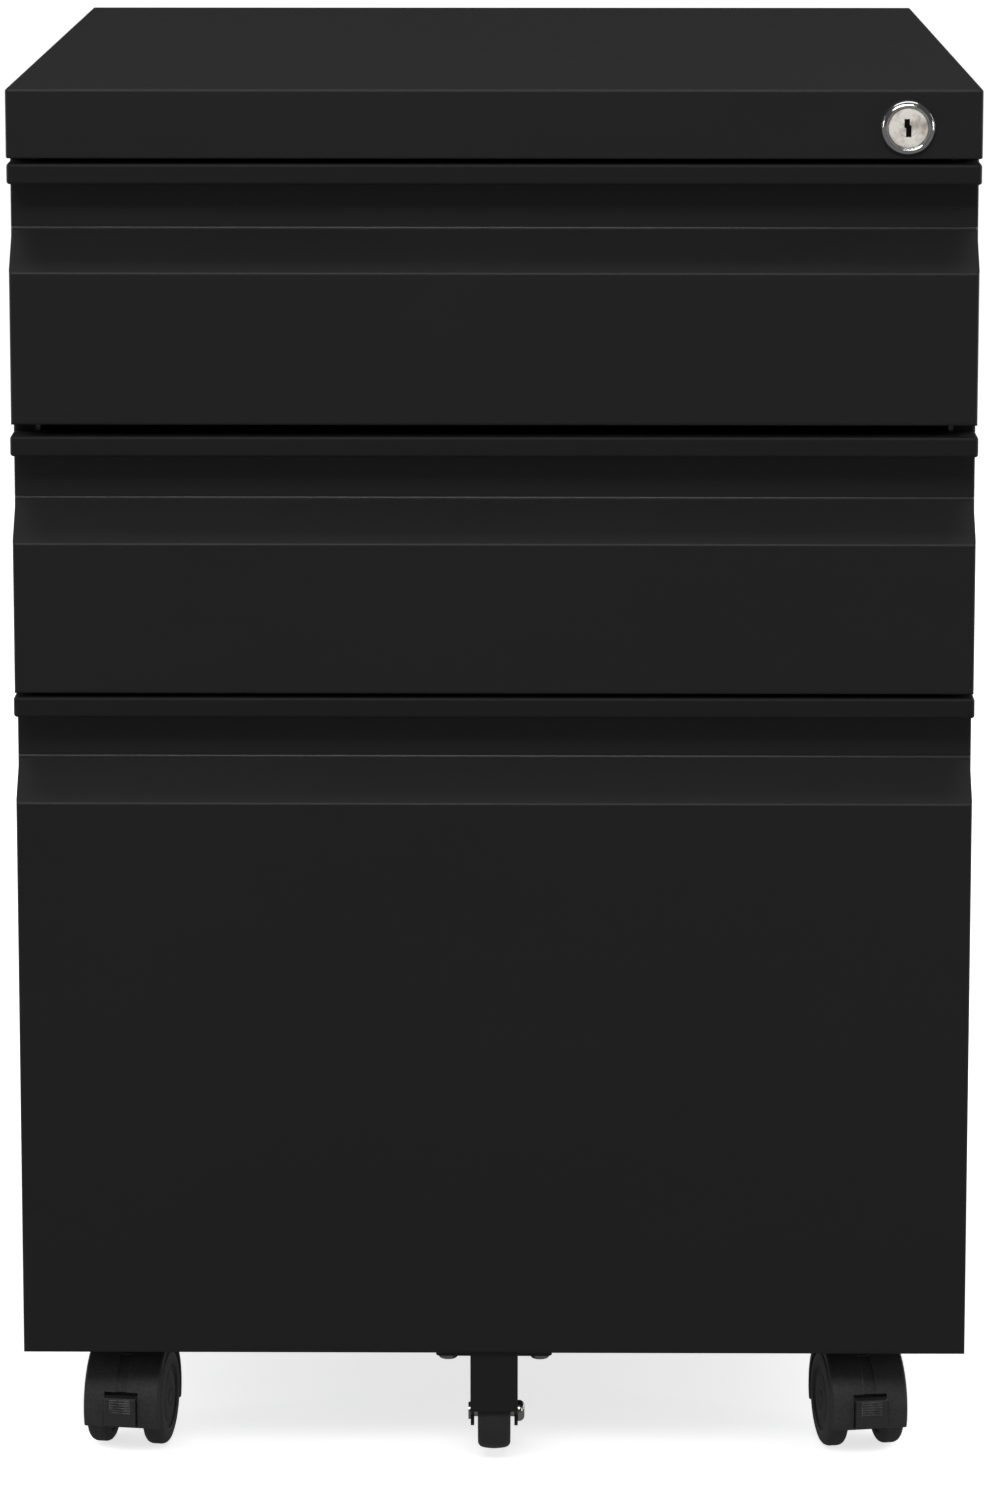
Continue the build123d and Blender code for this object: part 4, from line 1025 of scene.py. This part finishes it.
@dataclass
class Casters:
    """Four twin-wheel casters and the small wheel under the file drawer."""

    places: tuple[str, ...] = ("front_left", "front_right", "rear_left", "rear_right")
    # Hood: wear 0.9 and a rubbed tone of 5 paint its rims lighter, partly rubbed plastic and partly painted
    # highlight lines.
    hood: Finish = MouldedPlastic("hood_plastic", (0.027, 0.027, 0.029), 0.58, 0.45, 800.0,
                                  0.00012, 0.0005, 0.9, 5.0)
    wheel: Finish = MouldedPlastic("wheel_plastic", (0.028, 0.028, 0.029), 0.55, 0.45,
                                   texture=1100.0, dust=0.06)
    # Brake: full wear and a rubbed tone of 14 paint its ribs and edges light, painted highlight lines
    # beside real rubbing.
    brake: Finish = MouldedPlastic("brake_plastic", (0.024, 0.024, 0.025), 0.42, 0.5, 1300.0,
                                   0.00003, 0.0003, 1.0, 14.0)
    tip_wheel: Finish = MouldedPlastic("tip_wheel_plastic", (0.024, 0.024, 0.025), 0.40, 0.5,
                                       texture=1300.0)
    # Bracket: raised wear paints its edges lighter, partly rubbed paint and partly painted sheen lines.
    bracket: Finish = PowderCoat("bracket_paint", (0.013, 0.013, 0.0135), 0.38, 0.45, wear_and_highlight=0.6)
    axle: Finish = PlatedSteel("axle_steel", (0.70, 0.70, 0.71), 0.22, grain=Grain.ALONG_X)
    wheel_half: float = 0.5 * 8.9 * MM
    small_half: float = 6.75 * MM
    wheel_profile: tuple[tuple[float, float], ...] = (
        (2.6, 6.0), (2.6, 0.0), (5.2, 0.0), (5.7, 1.1), (15.2, 1.1), (15.9, 0.3), (17.4, 0.0), (18.6, 0.35),
        (19.4, 1.0), (19.85, 1.9), (20.0, 2.9), (20.0, 4.2), (19.88, 4.35), (19.88, 4.55), (20.0, 4.7),
        (20.0, 5.9), (19.8, 6.9), (19.3, 7.8), (18.5, 8.45), (17.4, 8.82), (16.2, 8.9), (13.9, 8.9),
        (13.4, 8.6), (13.1, 8.0), (12.6, 7.8), (10.4, 7.8), (9.8, 8.3), (9.0, 8.55), (4.6, 8.6), (4.2, 8.3),
        (3.4, 8.3), (3.1, 8.65), (1.5, 8.75), (0.0, 8.75),
    )
    small_profile: tuple[tuple[float, float], ...] = (
        (2.6, 0.6), (2.6, 0.1), (4.6, 0.1), (5.0, 0.9), (11.6, 0.9), (12.2, 0.1), (13.2, 0.0), (14.1, 0.4),
        (14.8, 1.1), (15.2, 2.2), (15.45, 3.6), (15.6, 5.2), (15.7, 6.5), (15.62, 6.65), (15.62, 6.85),
        (15.7, 7.0), (15.6, 8.3), (15.45, 9.9), (15.2, 11.3), (14.8, 12.4), (14.1, 13.1), (13.2, 13.5),
        (12.2, 13.4), (11.6, 12.6), (5.0, 12.6), (4.6, 13.4), (2.6, 13.4), (2.6, 0.6),
    )

    def wheels(self) -> None:
        """Turns one wheel, and copies it to both sides of each caster."""
        profile = [(r * MM, h * MM) for r, h in self.wheel_profile]
        first = Bench("wheel_pattern").lathe(profile, closed_start=True)
        bpy.ops.object.mode_set(mode="OBJECT")
        for place in self.places:
            for side, way in (("l", -1.0), ("r", 1.0)):
                node = f"caster_{place}_wheel_{side}"
                point, axis = joint(f"{node}_roll")
                low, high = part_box(node)
                middle = (low + high) / 2
                middle.z = point.z
                out = (axis * way).normalized()
                reach = (middle - point).dot(out)
                start = point + out * (reach - self.wheel_half)
                wheel = first.copy(f"{node}_turned")
                wheel.settle(tuple(start), tuple(out))
                wheel.done(self.wheel, "wheel_plastic", node, node)
        bpy.data.objects.remove(first.piece, do_unlink=True)

    def small_wheel(self) -> None:
        """Turns the small wheel under the file drawer."""
        point, axis = joint("anti_tip_wheel_roll")
        profile = [(r * MM, h * MM) for r, h in self.small_profile]
        bench = Bench("anti_tip_wheel_turned").lathe(profile)
        start = point - axis * self.small_half
        bench.settle(tuple(start), tuple(axis))
        bench.done(self.tip_wheel, "tip_wheel_plastic", "anti_tip_wheel", "anti_tip_wheel")

    def dress(self, nodes: dict[str, bpy.types.Object]) -> None:
        """Gives each node its finish.

        Args:
            nodes: the CAD nodes by name.
        """
        for place in self.places:
            name = f"caster_{place}"
            paint(nodes, (f"{name}_hood",), self.hood)
            paint(nodes, (f"{name}_wheel_l", f"{name}_wheel_r"), self.wheel)
            paint(nodes, (f"{name}_axle",), self.axle)
            if place.startswith("front"):
                paint(nodes, (f"{name}_brake",), self.brake)
        self.wheels()
        self.small_wheel()
        paint(nodes, ("anti_tip_bracket",), self.bracket)
        paint(nodes, ("anti_tip_axle",), self.axle)
        paint(nodes, ("anti_tip_wheel",), self.tip_wheel)


def joint(name: str) -> tuple[Vector, Vector]:
    """Place and axis of a joint in the record.

    Args:
        name: the joint's name.

    Returns:
        A point on its axis, and the axis.
    """
    for row in RECORD["behaviour"]["joints"]:
        if row["name"] == name:
            return Vector(row["pos_m"]), Vector(row["axis"])
    raise KeyError(name)


def paint(nodes: dict[str, bpy.types.Object], names: Iterable[str], finish: Finish) -> None:
    """Puts a finish on CAD nodes.

    Args:
        nodes: the CAD nodes by name.
        names: the ones to paint.
        finish: their finish.
    """
    for name in names:
        slots = nodes[name].data.materials
        slots.clear()
        slots.append(finish.build())
        LOG.info("%s has finish %s", name, finish.name)


# ---------------------------------------------------------------- studio and camera


@dataclass(frozen=True)
class Softbox:
    """A rectangular light: where it stands, what it faces, its size in metres and its watts."""

    name: str
    place: Point
    target: Point
    size: tuple[float, float]
    power: float

    def build(self) -> None:
        """Adds the light to the scene."""
        lamp = bpy.data.lights.new(self.name, "AREA")
        lamp.shape, lamp.energy = "RECTANGLE", self.power
        lamp.size, lamp.size_y = self.size
        holder = bpy.data.objects.new(self.name, lamp)
        holder.location = self.place
        aim = Vector(self.target) - Vector(self.place)
        holder.rotation_euler = aim.to_track_quat("-Z", "Y").to_euler()
        bpy.context.scene.collection.objects.link(holder)


@dataclass
class Studio:
    """Pale floor, soft lights and a plain surround."""

    floor_half: float = 40.0
    floor_drop: float = 0.0002
    floor_colour: Colour = (0.90, 0.90, 0.90)
    floor_seen: float = 0.72
    floor_in_gloss: float = 0.13
    floor_behind: float = 0.5
    surround_seen: float = 1.02
    surround_diffuse: float = 0.34
    surround_gloss: float = 0.055
    softboxes: tuple[Softbox, ...] = (
        Softbox("key", (-0.25, -2.6, 2.5), (0.0, 0.0, 0.35), (2.2, 0.8), 36.0),
        Softbox("overhead", (0.0, 0.1, 2.7), (0.0, 0.0, 0.3), (2.4, 1.3), 11.0),
        Softbox("left_side", (-2.0, 1.1, 0.8), (-0.2, 0.1, 0.35), (2.6, 1.9), 24.0),
        Softbox("right_side", (2.0, 1.1, 0.8), (0.2, 0.1, 0.35), (2.6, 1.9), 34.0),
        Softbox("right_strip", (2.4, -1.0, 0.6), (0.2, -0.2, 0.45), (0.16, 0.7), 3.6),
        Softbox("left_strip", (-2.4, -1.0, 0.8), (-0.2, -0.2, 0.5), (0.16, 0.7), 3.6),
    )

    def build(self) -> None:
        """Makes the floor, the surround and the lights."""
        self.floor()
        self.world()
        for softbox in self.softboxes:
            softbox.build()

    def floor(self) -> None:
        """A level plane, dim in reflections but for its back part, so that black paint stays black."""
        bpy.ops.object.select_all(action="DESELECT")
        bpy.ops.mesh.primitive_plane_add(size=2 * self.floor_half,
                                         location=(0.0, 0.0, -self.floor_drop))
        plane = bpy.context.active_object
        plane.name = "floor"
        material = bpy.data.materials.new("studio_floor")
        material.use_nodes = True
        material.node_tree.nodes.clear()
        tree = Tree(material.node_tree)
        rays = tree.add("LightPath")
        lit = tree.add("BsdfDiffuse", Color=self.floor_colour + (1.0,))
        glow = tree.add("Emission", Color=WHITE, Strength=self.floor_seen)
        seen = tree.add("AddShader", i0=lit.outputs[0], i1=glow.outputs[0])
        first = tree.add("MixShader", i0=rays.outputs["Is Camera Ray"],
                         i1=lit.outputs[0], i2=seen.outputs[0])
        place = tree.add("SeparateXYZ", i0=tree.add("TexCoord").outputs["Object"])
        behind = tree.remap(place.outputs[1], -0.1, 0.6, self.floor_in_gloss, self.floor_behind)
        dim = tree.add("Emission", Color=WHITE, Strength=behind)
        pick = tree.add("MixShader", i0=rays.outputs["Is Glossy Ray"],
                        i1=first.outputs[0], i2=dim.outputs[0])
        out = tree.add("OutputMaterial")
        tree.join(pick.outputs[0], out.inputs["Surface"])
        plane.data.materials.append(material)
        plane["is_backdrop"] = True

    def world(self) -> None:
        """White to the camera, soft to what it lights, and dim in reflections."""
        world = bpy.data.worlds.new("surround")
        bpy.context.scene.world = world
        world.use_nodes = True
        world.node_tree.nodes.clear()
        tree = Tree(world.node_tree)
        rays = tree.add("LightPath")
        seen = tree.add("Background", Color=WHITE, Strength=self.surround_seen)
        soft = tree.add("Background", Color=WHITE, Strength=self.surround_diffuse)
        dim = tree.add("Background", Color=WHITE, Strength=self.surround_gloss)
        bounced = tree.add("MixShader", i0=rays.outputs["Is Glossy Ray"],
                           i1=soft.outputs[0], i2=dim.outputs[0])
        pick = tree.add("MixShader", i0=rays.outputs["Is Camera Ray"],
                        i1=bounced.outputs[0], i2=seen.outputs[0])
        out = tree.add("OutputWorld")
        tree.join(pick.outputs[0], out.inputs["Surface"])


@dataclass
class Camera:
    """Long lens in front of the cabinet, a little right of its middle and above its top."""

    away: float = 2.236
    above: float = 0.193
    right: float = 0.018
    lens: float = 134.9
    yaw: float = 0.46
    pitch: float = 9.37
    shift: float = -0.150
    face_inset: float = 0.003

    def build(self, low: Vector, high: Vector) -> None:
        """Makes the scene's camera.

        Args:
            low: the cabinet's lowest corner.
            high: its highest corner.
        """
        data = bpy.data.cameras.new("camera")
        data.lens = self.lens
        data.shift_y = self.shift
        data.clip_start, data.clip_end = 0.1, 200.0
        camera = bpy.data.objects.new("camera", data)
        face = low.y + self.face_inset
        camera.location = (self.right, face - self.away, high.z + self.above)
        camera.rotation_euler = (math.radians(90.0 - self.pitch), 0.0, math.radians(self.yaw))
        bpy.context.scene.collection.objects.link(camera)
        bpy.context.scene.camera = camera


def main() -> None:
    """Builds everything in order and reports it."""
    logging.basicConfig(level=logging.INFO, format="%(name)s: %(message)s")
    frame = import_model()
    cad_low, cad_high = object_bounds()
    nodes = frame["nodes"]
    RECORD.update(frame["record"])
    Camera().build(cad_low, cad_high)
    Studio().build()
    for part in (Carcass(), Drawers(), Lock(), Casters()):
        part.dress(nodes)
        LOG.info("%s is dressed", type(part).__name__)
    bpy.context.scene.view_settings.view_transform = "Standard"


if __name__ == "__main__":
    main()
